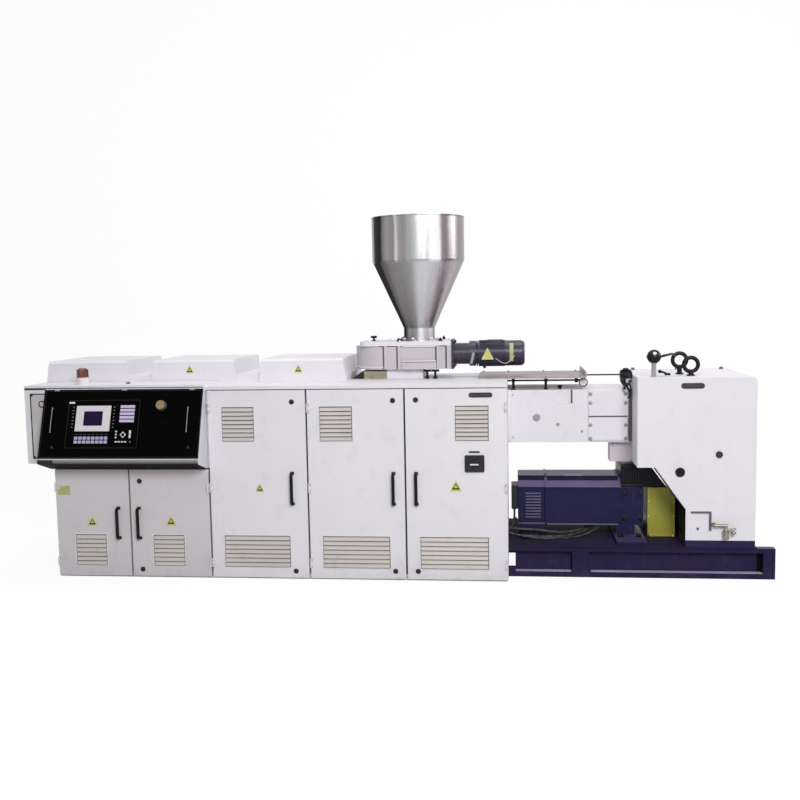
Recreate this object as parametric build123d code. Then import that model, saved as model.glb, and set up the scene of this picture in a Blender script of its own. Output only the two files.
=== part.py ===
from build123d import *
import math
import os

os.makedirs("parts", exist_ok=True)

# Driving dimensions, in millimetres. X runs from the head end to the drive end,
# Y from the operator's side to the rear, Z up from the floor.

# Lengths along the machine
head_overhang = 178
head_door_width = 519
control_door_width = 551
service_widths = (660, 640, 656)
drive_length = 1694

# Depths across the machine
console_reach = 190
body_depth = 1010
cabinet_depth = 480
screw_setback = 665

# Heights
machine_top = 1283
head_bottom = 774
control_top = 745
screw_height = 1040
frame_height = 200

# Sheet metal and clearances
wall = 20
roof_thickness = 21
floor_thickness = 40
door_thickness = 22
door_seal_gap = 5
door_gap = 6
door_bottom = 14
control_door_drop = 10
running_gap = 0.3

left_end = -(head_overhang + head_door_width + control_door_width + sum(service_widths) + drive_length) / 2
right_end = -left_end
cabinet_left = left_end + head_overhang
door_split = cabinet_left + head_door_width
seam_1 = door_split + control_door_width
seam_2 = seam_1 + service_widths[0]
seam_3 = seam_2 + service_widths[1]
seam_4 = seam_3 + service_widths[2]
front = -(console_reach + body_depth) / 2 + console_reach
rear = front + body_depth
cabinet_back = front + cabinet_depth
screw_y = front + screw_setback
carcass_front = front + door_thickness + door_seal_gap
roof_bottom = machine_top - roof_thickness


def block(x0, x1, y0, y1, z0, z1):
    """A box between two opposite corners."""
    return Pos((x0 + x1) / 2, (y0 + y1) / 2, (z0 + z1) / 2) * Box(x1 - x0, y1 - y0, z1 - z0)


def prism_y(points, y0, y1):
    """An outline of X, Z points, run along Y."""
    return extrude(Plane.XZ.offset(-y0) * Polygon(*points, align=None), y1 - y0, dir=(0, 1, 0))


def prism_x(points, x0, x1):
    """An outline of Y, Z points, run along X."""
    return extrude(Plane.YZ.offset(x0) * Polygon(*points, align=None), x1 - x0, dir=(1, 0, 0))


def rod_x(radius, x0, x1, y, z):
    return Pos((x0 + x1) / 2, y, z) * Rot(0, 90, 0) * Cylinder(radius, x1 - x0)


def rod_y(radius, y0, y1, x, z):
    return Pos(x, (y0 + y1) / 2, z) * Rot(90, 0, 0) * Cylinder(radius, y1 - y0)


def rod_z(radius, z0, z1, x, y):
    return Pos(x, y, (z0 + z1) / 2) * Cylinder(radius, z1 - z0)


def save(name, *solids):
    """Writes one node, which may hold several separate solids."""
    shape = solids[0] if len(solids) == 1 else Compound(children=list(solids))
    export_step(shape, "parts/" + name + ".step")


# Base frame under the drive
frame_front = front + 150
channel_flange = 60
channel_lip = 18
channel_foot = 36
channel_web = 10
deck_thickness = 12
end_post_width = 73
deck_inset = 109
window_width = 46
window_sill = 57
window_height = 89
column_left = seam_4 + 415
column_width = 105

column_right = column_left + column_width
beam_top = frame_height - deck_thickness
end_post_left = right_end - end_post_width
deck_right = right_end - deck_inset
deck_beam_left = deck_right - end_post_width


def channel_beam(outer_y, toward, end):
    """A channel with its open side out and a window beside the cabinets."""
    outer, inner = sorted((outer_y, outer_y + toward * channel_flange))
    beam = block(seam_4, end, outer, inner, 0, beam_top)
    hollow_1, hollow_2 = sorted((outer_y, outer_y + toward * (channel_flange - channel_web)))
    beam -= block(seam_4, end, hollow_1, hollow_2, channel_foot, beam_top - channel_lip)
    beam += block(column_left, column_right, hollow_1, hollow_2, 0, beam_top)
    return beam - block(seam_4, seam_4 + window_width, outer, inner, window_sill, window_sill + window_height)


cross_front = frame_front + channel_flange
cross_rear = rear - channel_flange
front_beam = channel_beam(frame_front, 1, end_post_left)
front_beam += block(deck_right, end_post_left, frame_front, cross_front, beam_top, frame_height)
front_beam += block(end_post_left, right_end, frame_front, cross_front, 0, frame_height)
save("frame_front_beam", front_beam)
save("frame_rear_beam", channel_beam(rear, -1, deck_beam_left))
save("frame_cross_member", block(column_left, column_right, cross_front, cross_rear, 0, beam_top))
save("frame_end_beam", block(deck_beam_left, deck_right, cross_front, rear, 0, beam_top))
save("deck_plate", block(seam_4, deck_right, frame_front, rear, beam_top, frame_height))

# Rear machine body, with the cabinets' seams repeated on its back
seam_groove = 6


def rear_seams(z0, z1):
    grooves = []
    for x in (seam_1, seam_2, seam_3):
        grooves.append(block(x - seam_groove / 2, x + seam_groove / 2, rear - seam_groove, rear, z0, z1))
    return grooves


flange_radius = 165
flange_clearance = 15
flange_depth = 60
bore_radius = 46
bore_spacing = 76

rear_base = block(cabinet_left, seam_4, cabinet_back, rear, 0, control_top)
rear_base -= rear_seams(floor_thickness, control_top)
save("rear_base", rear_base)

barrel_housing = prism_y(
    (
        (left_end, head_bottom),
        (cabinet_left, head_bottom),
        (cabinet_left, control_top),
        (seam_4, control_top),
        (seam_4, machine_top),
        (left_end, machine_top),
    ),
    cabinet_back,
    rear,
)
barrel_housing -= rear_seams(control_top, machine_top)
barrel_housing -= rod_x(flange_radius + flange_clearance, left_end, left_end + flange_depth, screw_y, screw_height)
save("barrel_housing", barrel_housing)

end_flange = rod_x(flange_radius, left_end, left_end + flange_depth, screw_y, screw_height)
for side in (-1, 1):
    y = screw_y + side * bore_spacing / 2
    end_flange -= rod_x(bore_radius, left_end, left_end + flange_depth, y, screw_height)
save("barrel_end_flange", end_flange)

# Cabinet row: floor, partition walls and roof
save("cabinet_floor", block(cabinet_left, seam_4, carcass_front, cabinet_back, 0, floor_thickness))
head_right = seam_1 - wall / 2
walls = [block(cabinet_left, cabinet_left + wall, carcass_front, cabinet_back, floor_thickness, control_top)]
for seam in (seam_1, seam_2, seam_3):
    walls.append(block(seam - wall / 2, seam + wall / 2, carcass_front, cabinet_back, floor_thickness, roof_bottom))
walls.append(block(seam_4 - wall, seam_4, carcass_front, cabinet_back, floor_thickness, roof_bottom))
save("cabinet_walls", *walls)
save("cabinet_roof", block(head_right, seam_4, front, cabinet_back, roof_bottom, machine_top))

# Head housing over the control cabinet, with its side cover
console_overlap = 20
console_gap = 2
cover_thickness = 6
cover_margin = 40
cover_foot = 34
cover_drop = 36
head_roof_depth = 316
head_roof_thickness = 14

head_roof_top = machine_top + head_roof_thickness
head_housing = prism_y(
    (
        (left_end, head_bottom),
        (cabinet_left, head_bottom),
        (cabinet_left, control_top),
        (head_right, control_top),
        (head_right, machine_top),
        (left_end, machine_top),
    ),
    front,
    cabinet_back,
)
head_housing += block(left_end, head_right, front, front + head_roof_depth, machine_top, head_roof_top)
save("head_housing", head_housing)

console_left = cabinet_left - console_overlap
console_right = head_right - console_gap
save(
    "head_cover",
    block(
        left_end + cover_margin, console_left - cover_thickness, front - cover_thickness, front,
        head_bottom + cover_foot, machine_top - cover_drop,
    ),
)

# Operator console: a wedge that leans toward the operator
console_drop = 6
console_top_reach = 14
console_hang = 4
console_nose_rise = 87
lip_height = 26
panel_thickness = 10
panel_border = 8
panel_side_gap = 1

console_top = machine_top - console_drop
console_root = control_top - console_hang
console_nose = console_root + console_nose_rise
nose_y = front - console_reach
slope_foot = nose_y + panel_thickness
console_housing = prism_x(
    (
        (front, console_root),
        (nose_y, console_nose - lip_height),
        (nose_y, console_nose),
        (slope_foot, console_nose),
        (front - console_top_reach, console_top),
        (front, console_top),
    ),
    console_left,
    console_right,
)
save("console_housing", console_housing)

slope_run = front - console_top_reach - slope_foot
slope = math.atan2(slope_run, console_top - console_nose)
panel_length = math.hypot(slope_run, console_top - console_nose)
# The panel's own frame: X along the machine, Y up the slope, Z out of its face
panel_plane = Plane(
    origin=((console_left + console_right) / 2, slope_foot, console_nose),
    x_dir=(1, 0, 0),
    z_dir=(0, -math.cos(slope), math.sin(slope)),
)


def on_panel(x, y, z, shape):
    """Puts a shape at x along, y up and z out from the console's face."""
    return panel_plane * Pos(x, y, z) * shape


console_width = console_right - console_left
panel_width = console_width - 2 * panel_side_gap
panel_height = panel_length - 2 * panel_border
panel = Box(panel_width, panel_height, panel_thickness)
save("console_panel", on_panel(0, panel_length / 2, panel_thickness / 2, panel))

display_width = 486
display_height = 321
display_thickness = 6
display_left = 181
display_rise = 75
display = Box(display_width, display_height, display_thickness)
display_x = -console_width / 2 + display_left + display_width / 2
display_y = display_rise + display_height / 2
save("operator_display", on_panel(display_x, display_y, panel_thickness + display_thickness / 2, display))

stop_radius = 30
stop_height = 12
stop_stem_radius = 14
stop_stem_height = 16
stop_left = 810
stop_rise = 357
stop_x = -console_width / 2 + stop_left
stop_base = panel_thickness + stop_stem_height
stem = Cylinder(stop_stem_radius, stop_stem_height)
stop = on_panel(stop_x, stop_rise, panel_thickness + stop_stem_height / 2, stem)
stop += on_panel(stop_x, stop_rise, stop_base + stop_height / 2, Cylinder(stop_radius, stop_height))
save("emergency_stop", stop)

# Warning beacon on the head housing
beacon_left = 363
beacon_setback = 110
beacon_radius = 37
beacon_base_lip = 4
beacon_base_height = 41
dome_height = 69
dome_round = 22

beacon_x = left_end + beacon_left
beacon_y = front + beacon_setback
beacon_foot = head_roof_top + beacon_base_height
save("beacon_base", rod_z(beacon_radius + beacon_base_lip, head_roof_top, beacon_foot, beacon_x, beacon_y))
dome = rod_z(beacon_radius, beacon_foot, beacon_foot + dome_height, beacon_x, beacon_y)
save("beacon_dome", fillet(dome.edges().sort_by(Axis.Z)[-1], dome_round))

# Doors. A hinge stands in front of a door's edge, beside the seam
hinge_inset = 12
knuckle_radius = 7
pin_radius = 3
pin_clearance = 0.3
knuckle_length = 20
leaf_thickness = 4
leaf_width = 24
bracket_thickness = 3
bracket_offset = 1
hinge_y = front - knuckle_radius
control_door_top = control_top - control_door_drop
service_door_top = roof_bottom - door_gap

vent_depth = 12
small_vent_width = 215
wide_vent_width = 443
lower_vent_sill = 68
lower_vent_height = 213
upper_vent_drop = 109
upper_vent_height = 227

handle_length = 223
handle_width = 22
handle_depth = 16
handle_standoff = 42
handle_foot = 24
control_handle_rise = 248
service_handle_rise = 484

lower_hinge_rise = 99
middle_hinge_rise = 599
upper_hinge_drop = 118
control_lower_rise = 95
control_upper_drop = 123

service_hinges = (
    door_bottom + lower_hinge_rise,
    door_bottom + middle_hinge_rise,
    service_door_top - upper_hinge_drop,
)
control_hinges = (door_bottom + control_lower_rise, control_door_top - control_upper_drop)

# Each vent: how far it starts from the left seam, its width, bottom and height
lower_vent_bottom = door_bottom + lower_vent_sill
upper_vent_bottom = service_door_top - upper_vent_drop - upper_vent_height
lower_vent = (90, wide_vent_width, lower_vent_bottom, lower_vent_height)
head_vent = (131, small_vent_width, lower_vent_bottom, lower_vent_height)
control_vent = (152, small_vent_width, lower_vent_bottom, lower_vent_height)
upper_vents = [(start, small_vent_width, upper_vent_bottom, upper_vent_height) for start in (97, 86, 323)]

# Each door: its name, the seams at its sides, the hinged side (-1 left, 1 right), how far its
# handle stands from the free seam, and its vents
control_doors = (
    ("door_1", cabinet_left, door_split, -1, 81, (head_vent,)),
    ("door_2", door_split, seam_1, 1, 61, (control_vent,)),
)
service_doors = (
    ("door_3", seam_1, seam_2, -1, 103, (lower_vent, upper_vents[0])),
    ("door_4", seam_2, seam_3, -1, 77, (lower_vent, upper_vents[1])),
    ("door_5", seam_3, seam_4, 1, 70, (lower_vent, upper_vents[2])),
)

brackets = []


def knuckle(x, z0, z1, radius):
    return rod_z(radius, z0, z1, x, hinge_y)


def hinge(door, seam, inward, z):
    """Adds a hinge's moving half to the door, and its fixed bracket to the list."""
    half = knuckle_length / 2
    axis_x = seam + inward * hinge_inset
    leaf_1, leaf_2 = sorted((axis_x, axis_x + inward * leaf_width))
    moving = knuckle(axis_x, z - half, z + half, knuckle_radius)
    moving += block(leaf_1, leaf_2, front - leaf_thickness, front, z - half, z + half)
    moving -= knuckle(axis_x, z - half, z + half, pin_radius + pin_clearance)
    plate_near = seam + inward * bracket_offset
    plate_1, plate_2 = sorted((plate_near, plate_near + inward * bracket_thickness))
    arm_1, arm_2 = sorted((plate_near, axis_x))
    bracket_foot = z - half * 3
    bracket_head = z + half * 3
    bracket = knuckle(axis_x, bracket_foot, bracket_head, pin_radius)
    bracket += block(plate_1, plate_2, hinge_y, carcass_front, bracket_foot, bracket_head)
    for z0, z1 in ((bracket_foot, z - half - running_gap), (z + half + running_gap, bracket_head)):
        bracket += knuckle(axis_x, z0, z1, knuckle_radius)
        bracket += block(arm_1, arm_2, hinge_y - leaf_thickness / 2, hinge_y + leaf_thickness / 2, z0, z1)
    brackets.append(bracket)
    return door + moving


def bridge_handle(x, bottom):
    """A bar on two feet, standing off the door's face."""
    x0 = x - handle_width / 2
    x1 = x + handle_width / 2
    top = bottom + handle_length
    grip_front = front - handle_standoff
    grip_back = grip_front + handle_depth
    handle = block(x0, x1, grip_front, grip_back, bottom, top)
    for z0, z1 in ((bottom, bottom + handle_foot), (top - handle_foot, top)):
        handle += block(x0, x1, grip_back, front, z0, z1)
    return handle


for door_set, door_top, hinges, handle_rise in (
    (control_doors, control_door_top, control_hinges, control_handle_rise),
    (service_doors, service_door_top, service_hinges, service_handle_rise),
):
    for name, seam_left, seam_right, hinged, handle_inset, vents in door_set:
        door_left = seam_left + door_gap
        door_right = seam_right - door_gap
        door = block(door_left, door_right, front, front + door_thickness, door_bottom, door_top)
        for start, width, bottom, height in vents:
            vent_left = seam_left + start
            door -= block(vent_left, vent_left + width, front, front + vent_depth, bottom, bottom + height)
        hinge_seam, free_seam = (seam_left, seam_right) if hinged < 0 else (seam_right, seam_left)
        for z in hinges:
            door = hinge(door, hinge_seam, -hinged, z)
        save(name, door)
        save(name + "_handle", bridge_handle(free_seam + hinged * handle_inset, door_bottom + handle_rise))

save("hinge_brackets", *brackets)

# Main switch on the last cabinet's door
switch_left = 386
switch_width = 120
switch_bottom = 723
switch_height = 103
switch_thickness = 16
knob_radius = 24
knob_thickness = 14
grip_length = 64
grip_width = 16
grip_height = 12
switch_x = seam_3 + switch_left + switch_width / 2
switch_z = switch_bottom + switch_height / 2
switch_front = front - switch_thickness
save(
    "main_switch_base",
    block(
        switch_x - switch_width / 2, switch_x + switch_width / 2, switch_front, front,
        switch_bottom, switch_bottom + switch_height,
    ),
)
knob_back = switch_front - running_gap
knob_front = knob_back - knob_thickness
knob = rod_y(knob_radius, knob_front, knob_back, switch_x, switch_z)
knob += block(
    switch_x - grip_length / 2, switch_x + grip_length / 2, knob_front - grip_height, knob_front,
    switch_z - grip_width / 2, switch_z + grip_width / 2,
)
save("main_switch_knob", knob)

# Feeder, throat and hopper: where they stand on the barrel housing
hopper_offset = 45
throat_offset = 219
throat_width = 250
throat_depth = 250
feeder_lift = 67
block_length = 172
block_height = 52
wedge_length = 76

hopper_x = seam_3 + hopper_offset
throat_left = hopper_x - throat_offset
throat_right = throat_left + throat_width
throat_front = screw_y - throat_depth / 2
throat_rear = screw_y + throat_depth / 2
feeder_bottom = machine_top + feeder_lift
block_left = throat_left - block_length
block_top = machine_top + block_height
wedge_left = block_left - wedge_length
save("feed_throat", block(throat_left, throat_right, throat_front, throat_rear, machine_top, feeder_bottom))
save(
    "feed_block",
    prism_y(
        (
            (wedge_left, machine_top),
            (throat_left, machine_top),
            (throat_left, block_top),
            (block_left, block_top),
        ),
        throat_front,
        throat_rear,
    ),
)

# Barrel hoods, side by side on a low strip from the head end to the feed block
hood_inset = 6
hood_count = 3
hood_gap = 150
hood_height = 157
hood_draft = 22
hood_chamfer = 14
hood_setback = 320
strip_setback = 30
strip_height = 52
strip_gap = 2

hood_front = front + hood_setback
strip_front = hood_front + strip_setback
strip_right = wedge_left - strip_gap
hood_left = left_end + hood_inset
hood_width = (strip_right - hood_left - (hood_count - 1) * hood_gap) / hood_count
strip_top = machine_top + strip_height
hood_top = machine_top + hood_height
save("hood_strip", block(left_end, strip_right, strip_front, rear, machine_top, strip_top))
hoods = []
for i in range(hood_count):
    x0 = hood_left + i * (hood_width + hood_gap)
    x1 = x0 + hood_width
    section = prism_x(
        (
            (hood_front, machine_top),
            (hood_front, hood_top - hood_chamfer),
            (hood_front + hood_chamfer, hood_top),
            (rear - hood_chamfer, hood_top),
            (rear, hood_top - hood_chamfer),
            (rear, strip_top),
            (strip_front, strip_top),
            (strip_front, machine_top),
        ),
        x0,
        x1,
    )
    ends = prism_y(
        ((x0, machine_top), (x1, machine_top), (x1 - hood_draft, hood_top), (x0 + hood_draft, hood_top)),
        hood_front,
        rear,
    )
    hoods.append(section & ends)
save("barrel_hoods", *hoods)

# Metering feeder: a trough with a rounded gear end, ribs and a top plate
feeder_reach = 228
trough_reach = 274
feeder_height = 161
feeder_depth = 346
feeder_rib = 12
rib_width = 18
left_ribs = (54, 148)
right_ribs = (87, 17)
chute_reach_left = 106
chute_reach_right = 128
chute_height = 52
plate_thickness = 30
plate_overhang = 14
plate_setback = 45
plate_round = 60

feeder_right = hopper_x + feeder_reach
trough_left = hopper_x - trough_reach
feeder_top = feeder_bottom + feeder_height
plate_top = feeder_top + plate_thickness
feeder_front = screw_y - feeder_depth / 2
feeder_rear = screw_y + feeder_depth / 2
rib_front = feeder_front - feeder_rib
rib_rear = feeder_rear + feeder_rib
end_radius = feeder_depth / 2
feeder = block(trough_left, feeder_right, feeder_front, feeder_rear, feeder_bottom, feeder_top)
feeder += rod_z(end_radius, feeder_bottom, feeder_top, trough_left, screw_y)
for x in [trough_left + inset for inset in left_ribs] + [feeder_right - inset for inset in right_ribs]:
    feeder += block(x - rib_width / 2, x + rib_width / 2, rib_front, rib_rear, feeder_bottom, feeder_top)
chute_left = hopper_x - chute_reach_left
chute_right = hopper_x + chute_reach_right
feeder += block(chute_left, chute_right, rib_front, rib_rear, feeder_bottom, feeder_bottom + chute_height)
save("feeder_housing", feeder)

plate_left = trough_left - end_radius + plate_setback
plate_front = feeder_front - plate_overhang
plate_rear = feeder_rear + plate_overhang
top_plate = block(plate_left, feeder_right, plate_front, plate_rear, feeder_top, plate_top)
left_edges = top_plate.edges().filter_by(Axis.Z).group_by(Axis.X)[0]
save("feeder_top_plate", fillet(left_edges, plate_round))

cap_inset = 49
cap_stem_radius = 7
cap_stem_height = 20
cap_radius = 20
cap_height = 16
cap_x = trough_left - cap_inset
cap_base = plate_top + cap_stem_height
cap = rod_z(cap_stem_radius, plate_top, cap_base, cap_x, screw_y)
cap += rod_z(cap_radius, cap_base, cap_base + cap_height, cap_x, screw_y)
save("feeder_knob", cap)

# T-headed clamp bolts in front of the throat, under the feeder
clamp_offsets = (32, 87)
clamp_setback = 20
clamp_radius = 8
clamp_reach = 22
clamp_gap = 5
clamp_y = throat_front - clamp_setback
clamp_z = feeder_bottom - clamp_gap - clamp_radius
bolts = []
for offset in clamp_offsets:
    x = throat_right + offset
    bolt = rod_z(clamp_radius, machine_top, clamp_z, x, clamp_y)
    bolt += rod_x(clamp_radius, x - clamp_reach, x + clamp_reach, clamp_y, clamp_z)
    bolts.append(bolt)
save("clamp_bolts", *bolts)

# Hopper: a thin steel shell, with a flange at its neck
hopper_radius = 320
hopper_wall = 4
neck_radius = 108
neck_height = 88
cone_height = 465
drum_height = 297
neck_flange_radius = 150
neck_flange_thickness = 12

cone_bottom = plate_top + neck_height
cone_top = cone_bottom + cone_height
hopper_top = cone_top + drum_height


def hopper_solid(inset):
    """The hopper's outer shape, or its inside when inset by the wall."""
    rim = hopper_top + (1 if inset else 0)
    foot = plate_top - (1 if inset else 0)
    profile = Polyline(
        (0, foot),
        (neck_radius - inset, foot),
        (neck_radius - inset, cone_bottom),
        (hopper_radius - inset, cone_top),
        (hopper_radius - inset, rim),
        (0, rim),
        close=True,
    )
    return Pos(hopper_x, screw_y, 0) * revolve(Plane.XZ * make_face(profile), Axis.Z)


flange_plate = rod_z(neck_flange_radius, plate_top, plate_top + neck_flange_thickness, hopper_x, screw_y)
save("hopper", hopper_solid(0) + flange_plate - hopper_solid(hopper_wall))

# Feeder gear unit and motor
drive_rise = 95
drive_flange_thickness = 14
drive_flange_reach = 104
drive_flange_drop = 102
drive_flange_rise = 103
gear_length = 169
gear_radius = 74
collar_height = 14
collar_width = 44
collar_inset = 18
feeder_motor_length = 320
feeder_motor_radius = 86
feeder_motor_round = 24
terminal_box_inset = 60
terminal_box_length = 110
terminal_box_depth = 100
terminal_box_rise = 92

drive_height = feeder_bottom + drive_rise
gear_left = feeder_right + drive_flange_thickness
gear_right = gear_left + gear_length
motor_right = gear_right + feeder_motor_length
gear_unit = block(
    feeder_right, gear_left, screw_y - drive_flange_reach, screw_y + drive_flange_reach,
    drive_height - drive_flange_drop, drive_height + drive_flange_rise,
)
gear_unit += rod_x(gear_radius, gear_left, gear_right, screw_y, drive_height)
collar_right = gear_right - collar_inset
gear_unit += rod_x(gear_radius + collar_height, collar_right - collar_width, collar_right, screw_y, drive_height)
save("feeder_gear_unit", gear_unit)
feeder_motor = rod_x(feeder_motor_radius, gear_right, motor_right, screw_y, drive_height)
feeder_motor = fillet(feeder_motor.edges().group_by(Axis.X)[-1], feeder_motor_round)
terminal_left = gear_right + terminal_box_inset
feeder_motor += block(
    terminal_left, terminal_left + terminal_box_length,
    screw_y - terminal_box_depth / 2, screw_y + terminal_box_depth / 2,
    drive_height, drive_height + terminal_box_rise,
)
save("feeder_motor", feeder_motor)

# Lantern casting between barrel and gearbox, with its two covers
lantern_length = 828
lantern_setback = 460
lantern_depth = 450
lantern_height = 357
post_height = 80
notch_right = 435
notch_width = 110
notch_depth = 14
notch_height = 94
boss_radius = 24
boss_height = 12
boss_offset = 193
boss_rise = 181
plate_inset = 27
plate_width = 261
upper_plate_drop = 7
upper_plate_height = 170
lower_plate_rise = 12
lower_plate_height = 158
bolted_thickness = 12

gearbox_left = seam_4 + lantern_length
lantern_top = machine_top - post_height
lantern_bottom = lantern_top - lantern_height
lantern_front = front + lantern_setback
lantern_rear = lantern_front + lantern_depth
lantern = block(seam_4, gearbox_left, lantern_front, lantern_rear, lantern_bottom, lantern_top)
notch_x = seam_4 + notch_right
lantern -= block(
    notch_x - notch_width, notch_x, lantern_front, lantern_front + notch_depth,
    lantern_top - notch_height, lantern_top,
)
boss_z = lantern_bottom + boss_rise
lantern += rod_y(boss_radius, lantern_front - boss_height, lantern_front, seam_4 + boss_offset, boss_z)
save("lantern_housing", lantern)
bolted_right = gearbox_left - plate_inset
bolted_left = bolted_right - plate_width
bolted_front = lantern_front - bolted_thickness
upper_plate_top = lantern_top - upper_plate_drop
lower_plate_bottom = lantern_bottom + lower_plate_rise
save(
    "lantern_covers",
    block(
        bolted_left, bolted_right, bolted_front, lantern_front,
        upper_plate_top - upper_plate_height, upper_plate_top,
    ),
    block(
        bolted_left, bolted_right, bolted_front, lantern_front,
        lower_plate_bottom, lower_plate_bottom + lower_plate_height,
    ),
)

support_length = 140
support_height = 141
support_front_inset = 60
support_rear_inset = 260
save(
    "lantern_support",
    block(
        gearbox_left - support_length, gearbox_left,
        lantern_front + support_front_inset, lantern_rear - support_rear_inset,
        lantern_bottom - support_height, lantern_bottom,
    ),
)

# Service tray over the lantern, on two posts
tray_overlap = 198
tray_reach = 525
tray_setback = 410
tray_thickness = 10
tray_lip = 44
tray_lip_thickness = 8
tray_right = seam_4 + tray_reach
tray_front = front + tray_setback
tray_top = machine_top + tray_thickness
tray = block(seam_4 - tray_overlap, tray_right, tray_front, rear, machine_top, tray_top)
tray += block(tray_right - tray_lip_thickness, tray_right, tray_front, rear, tray_top, machine_top + tray_lip)
save("service_tray", tray)

post_radius = 9
post_setback = 24
post_offsets = (40, 258)
pipe_radius = 6
pipe_drop = 17
pipe_reach = 485
gauge_radius = 30
gauge_depth = 16
gauge_drop = 16
gauge_offset = 22
post_y = lantern_front + post_setback
pipe_z = machine_top - pipe_drop
pipe_right = seam_4 + pipe_reach
line = rod_x(pipe_radius, seam_4, pipe_right, post_y, pipe_z)
for offset in post_offsets:
    line += rod_z(post_radius, lantern_top, machine_top, seam_4 + offset, post_y)
gauge_front = post_y - gauge_depth / 2
line += rod_y(gauge_radius, gauge_front, gauge_front + gauge_depth, pipe_right + gauge_offset, pipe_z - gauge_drop)
save("lubrication_line", line)

manifold_length = 78
manifold_reach = 30
manifold_drop = 10
manifold_rise = 38
rod_rise = 17
rod_radius = 5
riser_radius = 10
manifold_left = gearbox_left - manifold_length
manifold_bottom = machine_top - manifold_drop
manifold = rod_x(rod_radius, tray_right, manifold_left, post_y, machine_top + rod_rise)
manifold += block(
    manifold_left, gearbox_left, post_y - manifold_reach, post_y + manifold_reach,
    manifold_bottom, machine_top + manifold_rise,
)
manifold += rod_z(riser_radius, lantern_top, manifold_bottom, manifold_left + manifold_reach, post_y)
save("oil_manifold", manifold)

# Gearbox with its plinth and fittings
gearbox_length = 741
gearbox_setback = 160
gearbox_rear_inset = 10
plinth_height = 49
gearbox_rise = 17
gearbox_chamfer = 22
toe_offset = 306
toe_height = 203
throat_inset = 114
slant_height = 270
recess_inset = 31
recess_size = 132
recess_rise = 58
recess_depth = 10

gearbox_front = front + gearbox_setback
gearbox_rear = rear - gearbox_rear_inset
gearbox_bottom = frame_height + plinth_height
gearbox_top = machine_top + gearbox_rise
gearbox_right = gearbox_left + gearbox_length
toe_left = gearbox_left + toe_offset
toe_top = gearbox_bottom + toe_height
throat_x = gearbox_left + throat_inset
ledge = toe_top + slant_height
gearbox = prism_y(
    (
        (toe_left, gearbox_bottom),
        (gearbox_right, gearbox_bottom),
        (gearbox_right, gearbox_top - gearbox_chamfer),
        (gearbox_right - gearbox_chamfer, gearbox_top),
        (gearbox_left, gearbox_top),
        (gearbox_left, ledge),
        (throat_x, ledge),
        (toe_left, toe_top),
    ),
    gearbox_front,
    gearbox_rear,
)
recess_left = toe_left + recess_inset
recess_bottom = gearbox_bottom + recess_rise
gearbox -= block(
    recess_left, recess_left + recess_size, gearbox_front, gearbox_front + recess_depth,
    recess_bottom, recess_bottom + recess_size,
)
save("gearbox_housing", gearbox)
save("gearbox_plinth", block(toe_left, gearbox_right, gearbox_front, gearbox_rear, frame_height, gearbox_bottom))

breather_inset = 113
breather_setback = 90
breather_radius = 45
breather_rise = 131
breather_stem = 14
breather_x = gearbox_left + breather_inset
breather_y = gearbox_front + breather_setback
breather_z = gearbox_top + breather_rise
breather = rod_z(breather_stem, gearbox_top, breather_z, breather_x, breather_y)
breather += Pos(breather_x, breather_y, breather_z) * Sphere(breather_radius)
save("breather", breather)

# Two lifting eyes: how far each stands from the gearbox's left side, its setback and its height
eye_radius = 45
eye_wire = 13
eye_stem = 16
eye_stem_bite = 4
eye_collar = 26
eye_collar_height = 10
eye_places = ((306, 290, 95), (354, 140, 74))
rings = []
for offset, setback, rise in eye_places:
    x = gearbox_left + offset
    y = gearbox_front + setback
    z = gearbox_top + rise
    ring = Pos(x, y, z) * Rot(90, 0, 0) * Torus(eye_radius, eye_wire)
    ring += rod_z(eye_stem, gearbox_top, z - eye_radius + eye_stem_bite, x, y)
    ring += rod_z(eye_collar, gearbox_top, gearbox_top + eye_collar_height, x, y)
    rings.append(ring)
save("eye_bolts", *rings)

drain_offset = 480
drain_rise = 105
drain_reach = 34
drain_length = 73
drain_radius = 9
drain_drop = 54
valve_radius = 18
valve_height = 55
valve_foot = 18
drain_x = gearbox_left + drain_offset
drain_y = gearbox_front - drain_reach
drain_z = gearbox_bottom + drain_rise
valve_x = drain_x + drain_length
valve_bottom = gearbox_bottom + valve_foot
drain = rod_y(drain_radius, drain_y, gearbox_front, drain_x, drain_z)
drain += rod_x(drain_radius, drain_x, valve_x + drain_radius, drain_y, drain_z)
drain += rod_z(drain_radius, drain_z - drain_drop, drain_z, valve_x, drain_y)
drain += rod_z(valve_radius, valve_bottom, valve_bottom + valve_height, valve_x, drain_y)
save("drain_valve", drain)

plug_radius = 26
plug_height = 14
plug_offset = 269
plug_rise = 443
glass_radius = 21
glass_height = 10
glass_offset = 511
glass_rise = 558
plug_z = gearbox_bottom + plug_rise
glass_z = gearbox_bottom + glass_rise
save(
    "gearbox_plugs",
    rod_y(plug_radius, gearbox_front - plug_height, gearbox_front, gearbox_left + plug_offset, plug_z),
    rod_y(glass_radius, gearbox_front - glass_height, gearbox_front, gearbox_left + glass_offset, glass_z),
)

# Main motor: a fan end, a stator with sloping shoulders and a low drive end
motor_gap = 66
motor_setback = 430
motor_depth = 420
motor_lift = 85
side_height = 258
shoulder_height = 64
shoulder_depth = 85
fan_length = 188
drive_end_length = 155
drive_end_drop = 3
throat_gap = 38
section_step = 8
foot_overhang = 6
fan_foot = (9, 180)
drive_foot = (-30, 95)
rail = (-44, 150)
rail_reach = 236
rail_thickness = 26

motor_left = seam_4 + motor_gap
motor_front = front + motor_setback
motor_rear = motor_front + motor_depth
motor_bottom = frame_height + motor_lift
shoulder = motor_bottom + side_height
motor_top = shoulder + shoulder_height
drive_end_top = shoulder - drive_end_drop
stator_left = motor_left + fan_length
drive_end_right = throat_x - throat_gap
stator_right = drive_end_right - drive_end_length


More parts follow.
